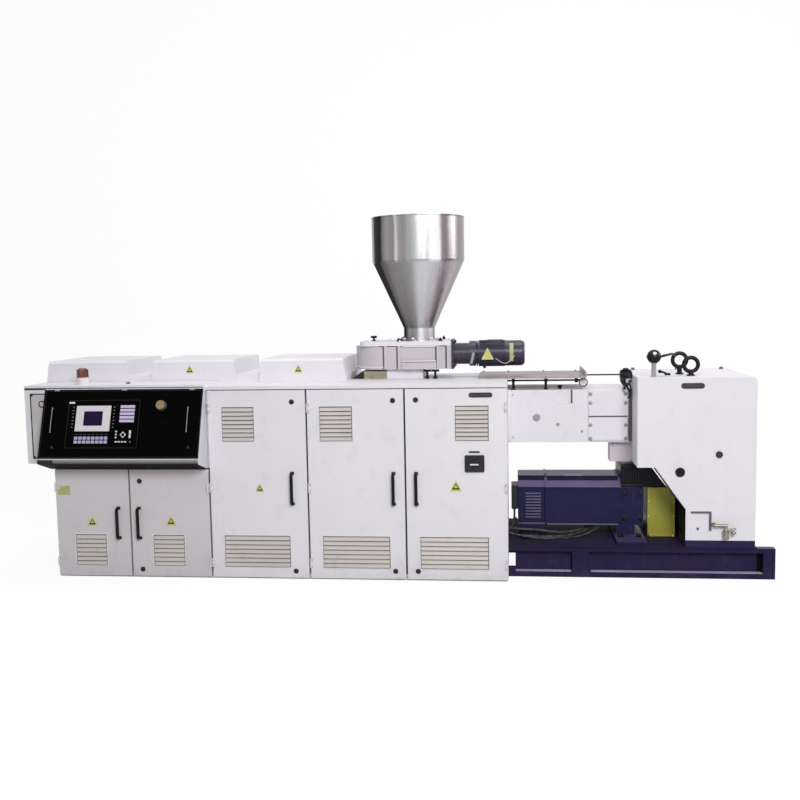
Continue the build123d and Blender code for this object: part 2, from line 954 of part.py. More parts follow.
def motor_section(inset):
    """The motor's cross-section, with its sides drawn in by the inset."""
    near = motor_front + inset
    far = motor_rear - inset
    return (
        (near, motor_bottom),
        (near, shoulder),
        (near + shoulder_depth, motor_top),
        (far - shoulder_depth, motor_top),
        (far, shoulder),
        (far, motor_bottom),
    )


motor = prism_x(motor_section(0), stator_left, stator_right)
motor += prism_x(motor_section(section_step), motor_left, stator_left)
motor += block(
    stator_right, drive_end_right, motor_front + section_step, motor_rear - section_step,
    motor_bottom, drive_end_top,
)
for base, (start, end) in ((motor_left, fan_foot), (stator_right, drive_foot)):
    motor += block(
        base + start, base + end, motor_front - foot_overhang, motor_rear + foot_overhang,
        frame_height, motor_bottom,
    )
rail_start, rail_end = rail
motor += block(
    stator_right + rail_start, stator_right + rail_end, motor_front - rail_reach, motor_rear,
    frame_height, frame_height + rail_thickness,
)
save("main_motor", motor)

guard_inset = 40
guard_front = motor_front + guard_inset
guard_rear = motor_rear - guard_inset

# Coupling guard between motor and gearbox; its top corner follows the gearbox's slanting underside
guard_gap = 32
guard_toe_gap = 20
guard_drop = 5
guard_clearance = 10
guard_left = drive_end_right + guard_gap
guard_right = toe_left - guard_toe_gap
guard_top = drive_end_top - guard_drop
underside_run = (toe_left - throat_x) / slant_height
guard_shoulder = ledge - (guard_right + guard_clearance - throat_x) / underside_run
guard_cut = throat_x + (ledge - guard_top) * underside_run - guard_clearance
guard = prism_y(
    (
        (guard_left, frame_height),
        (guard_right, frame_height),
        (guard_right, guard_shoulder),
        (guard_cut, guard_top),
        (guard_left, guard_top),
    ),
    guard_front,
    guard_rear,
)
save("coupling_guard", guard)

# Black cap on the motor's drive end, reaching over the guard to the gearbox's slanting underside
motor_cap_start = 6
motor_cap_height = 136
motor_cap_gap = 16
motor_cap_left = stator_right + motor_cap_start
motor_cap_top = drive_end_top + motor_cap_height
cap_reach = throat_x - motor_cap_gap
save(
    "motor_cap",
    prism_y(
        (
            (motor_cap_left, drive_end_top),
            (cap_reach + (ledge - drive_end_top) * underside_run, drive_end_top),
            (cap_reach + (ledge - motor_cap_top) * underside_run, motor_cap_top),
            (motor_cap_left, motor_cap_top),
        ),
        guard_front,
        guard_rear,
    ),
)

# Junction box on the motor's fan end
junction_length = 45
junction_depth = 160
junction_inset = 32
junction_rise = 100
junction_height = 162
junction_front = motor_front + section_step + junction_inset
junction_bottom = motor_bottom + junction_rise
junction_box = block(
    motor_left - junction_length, motor_left, junction_front, junction_front + junction_depth,
    junction_bottom, junction_bottom + junction_height,
)
save("motor_junction_box", junction_box)

# Machine leads: three from the cabinet's side along the deck and up into the motor's underside, one
# from the junction box down into the cabinet's side, and a thin one along the feeder motor
arc_share = 0.45
lead_overrun = 10


def lead(radius, points):
    """A tube of straight runs and tangent arcs through the points."""
    points = [Vector(*point) for point in points]
    radii = []
    for before, corner, after in zip(points, points[1:], points[2:]):
        turn = math.radians((corner - before).get_angle(after - corner))
        run = min((corner - before).length, (after - corner).length)
        radii.append(arc_share * run / math.tan(turn / 2))
    print("smallest lead radius", round(min(radii)), "of a lead", 2 * radius, "thick")
    path = FilletPolyline(*points, radius=radii)
    return sweep(Plane(origin=path @ 0, z_dir=path % 0) * Circle(radius), path=path)


lead_start = seam_4 - lead_overrun
# Each deck lead: its radius, its start's Y and Z, and its points from the cabinet's side, the motor's
# front and the deck
deck_leads = (
    (9, (-34, 69), ((85, -36, 62), (175, -34, 58), (265, -26, 46), (355, -6, 32), (445, 32, 32), (535, 70, 62),
                    (625, 104, 108))),
    (9, (-54, 33), ((80, -58, 22), (175, -56, 16), (275, -46, 12), (375, -20, 10), (475, 24, 22), (565, 64, 60),
                    (645, 96, 108))),
    (6, (-82, 52), ((85, -86, 26), (185, -82, 9), (295, -72, 7), (395, -50, 7), (495, -12, 14), (580, 22, 46),
                    (665, 52, 102))),
)
leads = []
motor_space = block(motor_left, gearbox_left, motor_front, motor_rear, motor_bottom, motor_top)
cabinet_space = block(seam_3, seam_4, front, rear, 0, machine_top)
for radius, (start_y, start_z), route in deck_leads:
    points = [(lead_start, motor_front + start_y, frame_height + start_z)]
    points += [(seam_4 + x, motor_front + y, frame_height + z) for x, y, z in route]
    leads.append(lead(radius, points) - motor_space - cabinet_space)

hanging_radius = 7
hanging_inset = 25
hanging_offset = 50
hanging_lean = 9
hanging_route = ((0, -lead_overrun), (0.5, 45), (-2, 90), (-13, 125), (-41, 147), (-56, 159))
hanging_x = motor_left - hanging_inset
hanging_y = junction_front + hanging_offset
points = [(hanging_x + x, hanging_y - drop / hanging_lean, junction_bottom - drop) for x, drop in hanging_route]
leads.append(lead(hanging_radius, points) - cabinet_space - junction_box)

thin_radius = 2.5
thin_gap = 0.8
thin_route = ((119, -30), (143, -51), (167, -64), (191, -69), (213, -56), (235, -33), (250, -14))
points = []
for x, rise in thin_route:
    chord = math.sqrt(feeder_motor_radius**2 - max(-40, rise) ** 2)
    points.append((gear_right + x, screw_y - chord - thin_radius - thin_gap, drive_height + rise))
leads.append(lead(thin_radius, points))
save("machine_leads", *leads)
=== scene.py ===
import bpy
import bmesh
import math
from mathutils import Matrix, Vector


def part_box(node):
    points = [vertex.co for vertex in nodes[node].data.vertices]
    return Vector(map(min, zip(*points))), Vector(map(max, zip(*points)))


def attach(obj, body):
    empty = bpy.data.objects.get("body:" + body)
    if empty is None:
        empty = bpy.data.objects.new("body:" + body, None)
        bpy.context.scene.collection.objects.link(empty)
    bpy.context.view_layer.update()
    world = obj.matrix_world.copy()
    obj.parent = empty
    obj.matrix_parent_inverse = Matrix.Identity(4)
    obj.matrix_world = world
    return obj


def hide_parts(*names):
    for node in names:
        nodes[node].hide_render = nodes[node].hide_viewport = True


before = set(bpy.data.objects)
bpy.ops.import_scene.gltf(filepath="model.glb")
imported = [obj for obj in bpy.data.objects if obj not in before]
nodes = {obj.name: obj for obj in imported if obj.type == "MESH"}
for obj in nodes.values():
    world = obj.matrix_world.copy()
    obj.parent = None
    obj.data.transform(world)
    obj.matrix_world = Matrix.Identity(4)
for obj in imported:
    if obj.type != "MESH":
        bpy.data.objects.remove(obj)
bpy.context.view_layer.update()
unit = 0.001  # sizes below are in millimetres
print("frame loaded,", len(nodes), "nodes")


# camera, floor and light

viewpoint = {"position": (0.7924, -6.7375, 1.8073), "yaw": 6.4826, "pitch": 5.5698, "roll": -1.0469,
             "lens": 45}


def aimCamera():
    yaw, pitch, roll = (math.radians(viewpoint[key]) for key in ("yaw", "pitch", "roll"))
    ahead = Vector((-math.sin(yaw) * math.cos(pitch), math.cos(yaw) * math.cos(pitch), -math.sin(pitch)))
    level = Vector((math.cos(yaw), math.sin(yaw), 0))
    above = level.cross(ahead)
    right = level * math.cos(roll) + above * math.sin(roll)
    up = above * math.cos(roll) - level * math.sin(roll)
    camera = bpy.data.objects.new("photoCamera", bpy.data.cameras.new("photoCamera"))
    bpy.context.scene.collection.objects.link(camera)
    camera.data.lens = viewpoint["lens"]
    camera.data.sensor_width = 36
    camera.data.clip_end = 200
    turn = Matrix((right, up, -ahead)).transposed()
    camera.matrix_world = Matrix.Translation(viewpoint["position"]) @ turn.to_4x4()
    bpy.context.scene.camera = camera


lamps = {
    "key": {"position": (2.4, -7.8, 4.8), "aim": (0.2, -0.3, 0.9), "size": (3.2, 2.4), "power": 482},
    "right": {"position": (6.6, 0.9, 3.2), "aim": (-0.8, 0.3, 1.4), "size": (2.4, 1.8), "power": 110},
    "over": {"position": (0.0, 0.4, 6.4), "aim": (0.0, 0.2, 1.2), "size": (6.0, 2.4), "power": 150},
    "behind": {"position": (2.6, 6.4, 3.6), "aim": (0.0, 0.3, 1.0), "size": (4.0, 2.6), "power": 150},
}


def hangLamps():
    for name, lamp in lamps.items():
        data = bpy.data.lights.new(name, "AREA")
        data.shape = "RECTANGLE"
        data.size, data.size_y = lamp["size"]
        data.energy = lamp["power"]
        data.color = (1.0, 0.985, 0.995)
        holder = bpy.data.objects.new(name, data)
        bpy.context.scene.collection.objects.link(holder)
        holder.location = lamp["position"]
        aim = Vector(lamp["aim"]) - Vector(lamp["position"])
        holder.rotation_euler = aim.to_track_quat("-Z", "Y").to_euler()


# shader maths

class Wire:  # one output of a shader node, with arithmetic
    def __init__(self, finish, socket):
        self.finish = finish
        self.socket = socket

    def math(self, operation, *values):
        return self.finish.add("ShaderNodeMath", {"operation": operation}, dict(enumerate(values)))

    def __add__(self, other):
        return self.math("ADD", self, other)

    def __radd__(self, other):
        return self.math("ADD", other, self)

    def __sub__(self, other):
        return self.math("SUBTRACT", self, other)

    def __rsub__(self, other):
        return self.math("SUBTRACT", other, self)

    def __mul__(self, other):
        return self.math("MULTIPLY", self, other)

    def __rmul__(self, other):
        return self.math("MULTIPLY", other, self)

    def __truediv__(self, other):
        return self.math("DIVIDE", self, other)

    def __pow__(self, other):
        return self.math("POWER", self, other)

    def above(self, limit):
        return self.math("GREATER_THAN", self, limit)

    def below(self, limit):
        return self.math("LESS_THAN", self, limit)

    def held(self):  # kept between 0 and 1
        return self.finish.add("ShaderNodeClamp", {}, {0: self})


class Finish:  # one material and the nodes behind it
    def __init__(self, name, colour, roughness=0.4, metallic=0.0, specular=0.5, coat=0.0, world=None):
        owner = world or bpy.data.materials.new(name)
        owner.use_nodes = True
        self.material = owner
        self.nodes = owner.node_tree.nodes
        self.links = owner.node_tree.links
        self.shader = self.nodes.get("Principled BSDF")
        if self.shader:
            self.set("Base Color", colour)
            self.set("Roughness", roughness)
            self.set("Metallic", metallic)
            self.set("Specular IOR Level", specular)
            self.set("Coat Weight", coat)
        self.where = None if world else self.add("ShaderNodeTexCoord", out="Object")

    def join(self, socket, value):
        if isinstance(value, Wire):
            self.links.new(value.socket, socket)
        elif isinstance(value, tuple) and len(value) == 3 and socket.type == "RGBA":
            socket.default_value = value + (1.0,)
        else:
            socket.default_value = value

    def set(self, name, value):
        self.join(self.shader.inputs[name], value)

    def add(self, kind, settings=None, inputs=None, out=0):
        node = self.nodes.new(kind)
        for key, value in (settings or {}).items():
            if key == "stops":
                ramp = node.color_ramp.elements
                while len(ramp) < len(value):
                    ramp.new(1.0)
                for stop, (position, colour) in zip(ramp, value):
                    stop.position = position
                    stop.color = colour + (1.0,)
            else:
                setattr(node, key, value)
        for key, value in (inputs or {}).items():
            self.join(node.inputs[key], value)
        return Wire(self, node.outputs[out])

    def axis(self, index):
        return self.add("ShaderNodeSeparateXYZ", {}, {0: self.where}, out=index)

    def noise(self, scale, detail=3.0, stretch=None, rough=0.5, vector=None):
        vector = vector or self.where
        if stretch:
            vector = self.add("ShaderNodeMapping", {}, {"Vector": vector, "Scale": stretch})
        return self.add("ShaderNodeTexNoise", {},
                        {"Vector": vector, "Scale": scale, "Detail": detail, "Roughness": rough})

    def mix(self, factor, first, second):
        return self.add("ShaderNodeMix", {"data_type": "RGBA"}, {0: factor, 6: first, 7: second}, out=2)

    def bump(self, height, strength, distance):
        self.set("Normal", self.add("ShaderNodeBump", {},
                                    {"Strength": strength, "Distance": distance, "Height": height}))


# finishes

def paintFinish(name, colour, other, roughness=0.42, specular=0.3, peel=0.14, dirt=0.2,
                stainAndLightTone=(0.34, 0.31, 0.30), dustAndTopLight=0.0, also=None):
    finish = Finish(name, colour, roughness, specular=specular)
    patches = finish.noise(1.7, 3)
    smudge = finish.noise(9, 5, rough=0.62)
    streaks = finish.noise(6, 4, stretch=(5, 5, 0.5))
    low = (1 - finish.axis(2) / 0.16).held()
    base = finish.mix(((patches - 0.36) * 3).held(), colour, other)
    if also:
        base = also(finish, base)
    marks = ((smudge - 0.56) * 3).held() * dirt + ((streaks - 0.6) * 3).held() * dirt * 0.5
    marks = marks + low * ((smudge - 0.3) * 1.5).held() * 0.35
    if dustAndTopLight:  # dust and painted light on upward faces, which turn lighter
        facing = finish.add("ShaderNodeNewGeometry", out="Normal")
        upward = finish.add("ShaderNodeSeparateXYZ", {}, {0: facing}, out=2)
        marks = marks + ((upward - 0.45) * 2).held() * (0.6 + (smudge - 0.5) * 1.6) * dustAndTopLight
    # marks blend toward the stain tone; on dark paints that tone is lighter and also stands for painted light
    # on tops
    finish.set("Base Color", finish.mix(marks.held(), base, stainAndLightTone))
    finish.set("Roughness", roughness + (smudge - 0.5) * 0.22)
    finish.bump(finish.noise(520, 2) + patches * 0.4, peel, 0.0006)
    return finish.material


def plasticFinish(name, colour, other, roughness=0.4, specular=0.3, grain=1400, depth=0.12):
    finish = Finish(name, colour, roughness, specular=specular)
    dust = finish.noise(22, 5, rough=0.6)
    finish.set("Base Color", finish.mix(((dust - 0.45) * 2.5).held(), colour, other))
    finish.set("Roughness", roughness + (dust - 0.5) * 0.25)
    finish.bump(finish.noise(grain, 2), depth, 0.0004)
    return finish.material


def metalFinish(name, colour, other, roughness=0.35, stretch=(1, 1, 14), rust=None, level=0.62):
    finish = Finish(name, colour, roughness, metallic=1.0)
    lines = finish.noise(60, 4, stretch=stretch)
    stain = finish.noise(7, 5, rough=0.65)
    base = finish.mix(((lines - 0.35) * 2.2).held(), colour, other)
    if rust:
        base = finish.mix(((stain - level) * 6).held(), base, rust)
        finish.set("Metallic", 1 - ((stain - level) * 6).held() * 0.7)
    finish.set("Base Color", base)
    finish.set("Roughness", roughness + (lines - 0.5) * 0.3 + (stain - 0.5) * 0.2)
    finish.bump(lines, 0.1, 0.0004)
    return finish.material


hopperLook = {
    "axis": (0.144, 0.255),
    "coneTop": 2.094,
    "paintedReflectionBands": (  # turn round the hopper as a share of a circle, and the tone there: painted reflections, highlights and shade on the steel
        (0.0, (0.22, 0.2, 0.205)), (0.062, (0.26, 0.235, 0.24)), (0.078, (0.035, 0.03, 0.03)),
        (0.118, (0.014, 0.013, 0.013)), (0.13, (0.17, 0.165, 0.16)), (0.15, (0.29, 0.28, 0.275)),
        (0.178, (0.22, 0.21, 0.21)), (0.187, (0.62, 0.61, 0.62)), (0.197, (0.32, 0.295, 0.31)),
        (0.216, (0.25, 0.23, 0.24)), (0.229, (0.34, 0.34, 0.35)), (0.296, (0.35, 0.35, 0.36)),
        (0.31, (0.9, 0.89, 0.91)), (0.336, (0.9, 0.88, 0.9)), (0.348, (0.26, 0.225, 0.24)),
        (0.366, (0.13, 0.112, 0.122)), (0.386, (0.15, 0.135, 0.143)), (0.406, (0.27, 0.25, 0.26)),
        (0.426, (0.25, 0.23, 0.24)), (0.5, (0.3, 0.28, 0.29)), (0.56, (0.46, 0.44, 0.46)),
        (0.64, (0.7, 0.69, 0.71)), (0.7, (0.28, 0.26, 0.28)), (0.78, (0.06, 0.06, 0.06)),
        (0.86, (0.5, 0.48, 0.5)), (0.93, (0.66, 0.65, 0.67)), (1.0, (0.24, 0.22, 0.225)),
    ),
    # the same painted reflections and shade for the cone
    "conePaintedReflectionBands": (
        (0.0, (0.08, 0.075, 0.07)), (0.03, (0.016, 0.015, 0.014)), (0.1, (0.018, 0.017, 0.016)),
        (0.12, (0.12, 0.115, 0.11)), (0.155, (0.25, 0.24, 0.235)), (0.2, (0.22, 0.215, 0.215)),
        (0.235, (0.28, 0.275, 0.28)), (0.262, (0.54, 0.54, 0.56)), (0.292, (0.57, 0.57, 0.59)),
        (0.315, (0.52, 0.5, 0.52)), (0.35, (0.47, 0.43, 0.45)), (0.42, (0.42, 0.385, 0.4)),
        (0.455, (0.25, 0.23, 0.245)), (0.5, (0.28, 0.26, 0.27)), (0.6, (0.6, 0.59, 0.6)),
        (0.68, (0.26, 0.25, 0.26)), (0.78, (0.06, 0.06, 0.06)), (0.88, (0.46, 0.45, 0.46)),
        (0.95, (0.56, 0.55, 0.56)), (1.0, (0.1, 0.095, 0.09)),
    ),
}


def hopperFinish():
    finish = Finish("hopperSteel", (0.5, 0.5, 0.5), 0.26, metallic=1.0, specular=0.1)
    x = finish.axis(0) - hopperLook["axis"][0]
    y = finish.axis(1) - hopperLook["axis"][1]
    radius = (x * x + y * y) ** 0.5
    round_ = finish.add("ShaderNodeCombineXYZ", {}, {0: x / radius, 1: y / radius, 2: finish.axis(2) * 0.12})
    fine = finish.noise(34, 4, vector=round_, rough=0.6)
    hair = finish.noise(210, 2, vector=round_)
    marks = finish.noise(5, 5, rough=0.6)
    turn = y.math("ARCTAN2", y, x) / (2 * math.pi) + 0.5
    cone = ((hopperLook["coneTop"] - finish.axis(2)) * 40).held()  # 0 on the drum, 1 below it
    turn = turn + (fine - 0.5) * 0.012 + (marks - 0.5) * 0.01
    # the tones are painted reflections, highlights and shade, read by the turn round the axis
    base = finish.add("ShaderNodeValToRGB", {"stops": hopperLook["paintedReflectionBands"]}, {0: turn})
    lower = finish.add("ShaderNodeValToRGB", {"stops": hopperLook["conePaintedReflectionBands"]}, {0: turn})
    shade = finish.mix(cone, base, lower)
    # where the painted tone is dark, the steel is made matt and non-metallic
    dark = (1 - finish.add("ShaderNodeSeparateColor", {}, {0: shade}) * 7).held()
    brushed = ((hair - 0.45) * 1.2).held() * (1 - dark) * 0.25
    finish.set("Base Color", finish.mix(brushed, shade, (0.6, 0.59, 0.6)))
    finish.set("Metallic", 1 - dark * 0.92)
    finish.set("Roughness", 0.24 + (fine - 0.3) * 0.25 + (marks - 0.5) * 0.12 + dark * 0.5)
    finish.bump(hair + fine * 0.5, 0.06, 0.0005)
    return finish.material


def meshFinish(name, colour, gap):  # woven wire behind the louvres; the near-black between the wires is painted shade, the dark of the cabinet behind
    finish = Finish(name, colour, 0.6, specular=0.2)
    across = (finish.axis(0) * 1100).math("SINE", finish.axis(0) * 1100)
    along = (finish.axis(2) * 1100).math("SINE", finish.axis(2) * 1100)
    wires = (across * along).above(-0.1)
    fluff = finish.noise(40, 4)
    finish.set("Base Color", finish.mix(wires, gap, colour))
    finish.set("Roughness", 0.5 + fluff * 0.3)
    finish.bump(wires, 0.3, 0.0006)
    return finish.material


def amberFinish():
    finish = Finish("beaconAmber", (0.2, 0.06, 0.03), 0.16, specular=0.4)
    ribs = finish.noise(60, 2, stretch=(1, 1, 0.1))
    finish.set("Base Color", finish.mix(((ribs - 0.4) * 3).held(), (0.12, 0.035, 0.02), (0.30, 0.10, 0.04)))
    finish.set("Roughness", 0.12 + ribs * 0.12)
    finish.shader.inputs["Transmission Weight"].default_value = 0.1
    finish.bump(ribs, 0.25, 0.001)
    return finish.material


def screenFinish():
    finish = Finish("screenViolet", (0.02, 0.008, 0.04), 0.3, specular=0.06)
    haze = finish.noise(18, 3)
    rows = (finish.axis(2) * 1600).math("SINE", finish.axis(2) * 1600)
    glow = finish.mix((haze * 0.7 + rows * 0.06).held(), (0.008, 0.003, 0.018), (0.018, 0.008, 0.038))
    finish.set("Base Color", glow)
    finish.set("Roughness", 0.25 + haze * 0.1)
    finish.set("Emission Color", glow)
    finish.shader.inputs["Emission Strength"].default_value = 0.35
    finish.bump(haze, 0.03, 0.0003)
    return finish.material


def leadFinish():  # black sheaths, and a white one above the machine's top
    finish = Finish("leadSheath", (0.06, 0.06, 0.065), 0.5, specular=0.3)
    high = finish.axis(2).above(1.3)
    dust = finish.noise(30, 4)
    dark = finish.mix(((dust - 0.4) * 3).held(), (0.022, 0.022, 0.026), (0.10, 0.095, 0.10))
    finish.set("Base Color", finish.mix(high, dark, (0.66, 0.65, 0.66)))
    finish.set("Roughness", 0.42 + dust * 0.2)
    finish.bump(finish.noise(260, 2), 0.12, 0.0005)
    return finish.material


nose = {"face": -0.597, "foot": 0.802, "height": 0.026, "corner": -2.186}


def noseShade(finish, base):  # painted shade: grey on the rounding under the console's panel, darker towards its foot, black at its left end
    rise = ((finish.axis(2) - nose["foot"]) / nose["height"]).held()
    grey = finish.mix((rise * 1.6 - 0.1).held(), (0.022, 0.021, 0.022), (0.25, 0.245, 0.25))
    grey = finish.mix(finish.axis(0).below(nose["corner"]), grey, (0.004, 0.004, 0.004))
    return finish.mix(finish.axis(1).below(nose["face"]), base, grey)


# dust: lighter tone of dust and painted light on the motor's shoulder
shoulder = {"low": 0.5435, "high": 0.6, "share": 0.42, "dust": (0.30, 0.24, 0.41)}


def shoulderDustAndLight(finish, base):  # dust and painted light on the motor's sloping shoulder, which turns lighter
    height = finish.axis(2)
    share = height.above(shoulder["low"]) * height.below(shoulder["high"]) * shoulder["share"]
    return finish.mix(share, base, shoulder["dust"])


looks = {
    "white": paintFinish("whitePaint", (0.80, 0.785, 0.825), (0.765, 0.752, 0.797)),
    "navy": paintFinish("navyPaint", (0.016, 0.016, 0.062), (0.024, 0.019, 0.066), 0.34, 0.1, 0.2, 0.3,
                        (0.06, 0.05, 0.075)),
    # painted shade: a darker copy of the white paint, with painted shade under the panel's nose
    "console": paintFinish("consoleWhitePaintedShade", (0.72, 0.705, 0.74), (0.68, 0.665, 0.70), also=noseShade),
    # painted shade: a darker copy of the white paint for the doors under the console
    "shaded": paintFinish("shadedWhite", (0.68, 0.655, 0.68), (0.63, 0.605, 0.625), dirt=0.3),
    # painted shade: a darker copy of the white paint for the head's shaded left end, with dirt marks
    "head": paintFinish("headWhitePaintedShade", (0.58, 0.56, 0.585), (0.52, 0.50, 0.52), dirt=0.35),
    "cap": plasticFinish("capBlack", (0.006, 0.005, 0.008), (0.014, 0.012, 0.018), 0.36, 0.12),
    "beam": paintFinish("beamPaint", (0.013, 0.012, 0.048), (0.020, 0.014, 0.050), 0.36, 0.08, 0.2, 0.3,
                        (0.10, 0.085, 0.15), 0.5),
    "motorBlue": paintFinish("motorBlue", (0.015, 0.015, 0.058), (0.021, 0.019, 0.064), 0.34, 0.08, 0.16, 0.2,
                             (0.21, 0.165, 0.29), 0.35, shoulderDustAndLight),
    "deck": paintFinish("deckPaint", (0.012, 0.011, 0.036), (0.022, 0.016, 0.045), 0.6, 0.03, 0.25, 0.4,
                        (0.06, 0.045, 0.08), 0.3),
    # painted light: a lighter copy of the motor's navy for its lit lower lips
    "lipBlueLit": paintFinish("lipBlueLit", (0.10, 0.095, 0.13), (0.14, 0.13, 0.17), 0.4, 0.3),
    # painted light: a lighter copy of the motor's navy for its lit louvre slats
    "slat": paintFinish("slatBlueLit", (0.085, 0.08, 0.135), (0.115, 0.108, 0.17), 0.4, 0.2),
    "charcoal": paintFinish("charcoalEnamel", (0.026, 0.022, 0.042), (0.040, 0.034, 0.060), 0.3, 0.4, 0.16,
                            0.25, (0.10, 0.09, 0.12), 0.4),
    # painted light: pale strip on the lit top of the frame's lower flange
    "flange": paintFinish("flangeLitPaint", (0.72, 0.65, 0.82), (0.54, 0.48, 0.64), 0.4, 0.2, 0.2, 0.4,
                          (0.22, 0.19, 0.28)),
    # painted shade: a greyer copy of the white paint for the feeder housing
    "feed": paintFinish("feederWhitePaintedShade", (0.60, 0.57, 0.59), (0.52, 0.49, 0.51), 0.42, 0.3, 0.14, 0.35,
                        (0.30, 0.27, 0.27)),
    "grey": paintFinish("greyPaint", (0.62, 0.56, 0.61), (0.67, 0.62, 0.66), 0.45),
    "olive": paintFinish("oliveEnamel", (0.42, 0.41, 0.045), (0.33, 0.30, 0.05), 0.36, 0.3, 0.16, 0.45,
                         (0.16, 0.13, 0.06)),
    "panel": plasticFinish("panelFilm", (0.0008, 0.0008, 0.001), (0.002, 0.002, 0.0024), 0.4, 0.02, 900,
                           0.05),
    "shade": plasticFinish("deepShade", (0.004, 0.004, 0.005), (0.008, 0.008, 0.010), 0.6, 0.03),
    # dark grey: painted shade in gaps, beside ribs and in recesses, and the colour of some bolts
    "darkGrey": plasticFinish("darkGreyPlastic", (0.13, 0.125, 0.135), (0.19, 0.185, 0.19), 0.6, 0.1),
    "plate": plasticFinish("plateDark", (0.05, 0.048, 0.055), (0.085, 0.08, 0.09), 0.4, 0.2),
    "bar": plasticFinish("barGrey", (0.20, 0.195, 0.205), (0.28, 0.27, 0.285), 0.4, 0.2),
    "trim": plasticFinish("blackTrim", (0.011, 0.011, 0.012), (0.024, 0.024, 0.026), 0.42, 0.3),
    "grip": plasticFinish("gripBlack", (0.003, 0.003, 0.0035), (0.008, 0.008, 0.009), 0.38, 0.16, 900, 0.2),
    "lipGrey": plasticFinish("lipGrey", (0.34, 0.325, 0.345), (0.40, 0.385, 0.40), 0.45, 0.3),
    "gold": plasticFinish("goldCap", (0.24, 0.175, 0.085), (0.34, 0.26, 0.14), 0.3, 0.4),
    "pale": plasticFinish("paleMoulding", (0.72, 0.70, 0.72), (0.80, 0.78, 0.79), 0.4, 0.35),
    "bezel": plasticFinish("bezelIvory", (0.66, 0.645, 0.68), (0.72, 0.70, 0.74), 0.4, 0.35),
    "lavender": plasticFinish("keyLavender", (0.42, 0.375, 0.60), (0.49, 0.44, 0.66), 0.4, 0.3),
    "lilac": plasticFinish("keypadLilac", (0.60, 0.51, 0.72), (0.66, 0.57, 0.77), 0.4, 0.3),
    "yellow": plasticFinish("signYellow", (0.60, 0.59, 0.20), (0.68, 0.67, 0.31), 0.4, 0.2),
    "label": plasticFinish("labelYellow", (0.46, 0.46, 0.20), (0.56, 0.56, 0.30), 0.45, 0.2),
    "vent": paintFinish("ventBeige", (0.60, 0.565, 0.53), (0.67, 0.635, 0.60), 0.5, 0.25, 0.2, 0.35,
                        (0.30, 0.27, 0.24)),
    "gauze": meshFinish("ventGauzeShaded", (0.13, 0.125, 0.115), (0.012, 0.011, 0.010)),
    "hopper": hopperFinish(),
    "zinc": metalFinish("zincPlate", (0.52, 0.51, 0.53), (0.66, 0.65, 0.67), 0.34, (1, 9, 1),
                        (0.30, 0.24, 0.19), 0.7),
    "tray": metalFinish("traySteel", (0.25, 0.21, 0.225), (0.33, 0.29, 0.305), 0.42, (0.6, 9, 1),
                        (0.18, 0.14, 0.125)),
    "bright": metalFinish("brightSteel", (0.66, 0.66, 0.68), (0.80, 0.80, 0.82), 0.22, (1, 1, 6)),
    "iron": metalFinish("blackIron", (0.014, 0.0135, 0.015), (0.036, 0.034, 0.037), 0.42, (1, 1, 1),
                        (0.06, 0.042, 0.034), 0.7),
    "brass": metalFinish("dullBrass", (0.26, 0.245, 0.17), (0.38, 0.36, 0.28), 0.4, (1, 1, 3),
                         (0.12, 0.11, 0.06), 0.56),
    "valve": metalFinish("valveBronze", (0.22, 0.205, 0.16), (0.34, 0.32, 0.26), 0.4, (1, 1, 3),
                         (0.06, 0.055, 0.045), 0.56),
    "amber": amberFinish(),
    "screen": screenFinish(),
    "lead": leadFinish(),
}
print("finishes made,", len(looks))

nodeLooks = {
    "navy": ("gearbox_plinth",),
    "beam": ("frame_front_beam", "frame_rear_beam", "frame_cross_member", "frame_end_beam"),
    "motorBlue": ("main_motor",),
    "deck": ("deck_plate",),
    "charcoal": ("feeder_motor", "feeder_gear_unit"),
    "panel": ("console_panel", "operator_display"),
    "gold": ("emergency_stop",),
    "pale": ("beacon_base",),
    "amber": ("beacon_dome",),
    "hopper": ("hopper",),
    "tray": ("service_tray",),
    "zinc": ("hinge_brackets", "barrel_end_flange"),
    "iron": ("clamp_bolts", "feeder_knob", "lubrication_line", "oil_manifold", "breather", "eye_bolts",
             "gearbox_plugs"),
    "brass": ("feed_block",),
    "valve": ("drain_valve",),
    "olive": ("coupling_guard",),
    "grey": ("lantern_support",),
    "feed": ("feeder_housing",),
    "trim": ("main_switch_base", "main_switch_knob", "motor_junction_box"),
    "cap": ("motor_cap",),
    "console": ("console_housing",),
    "shaded": ("door_1", "door_2"),
    "head": ("head_cover",),
    "lead": ("machine_leads",),
}
lookOf = {node: look for look, group in nodeLooks.items() for node in group}
for node, piece in nodes.items():
    piece.data.materials.clear()
    piece.data.materials.append(looks[lookOf.get(node, "white")])


studio = {"front": -16.0, "rear": 5.2, "curve": 1.6, "top": 9.0, "half": 16.0, "tint": (1.0, 0.997, 1.0),
          "glow": 1.15, "share": 0.8, "world": 0.28}


def arc(start, end, steps):  # angles from start to end, which are in degrees
    return [math.radians(start + (end - start) * i / steps) for i in range(steps + 1)]


def seenShare(finish):  # 1 for rays from the camera, off gloss or through glass
    camera, gloss, glass = [finish.add("ShaderNodeLightPath", out=ray)
                            for ray in ("Is Camera Ray", "Is Glossy Ray", "Is Transmission Ray")]
    return (camera + gloss + glass).held()


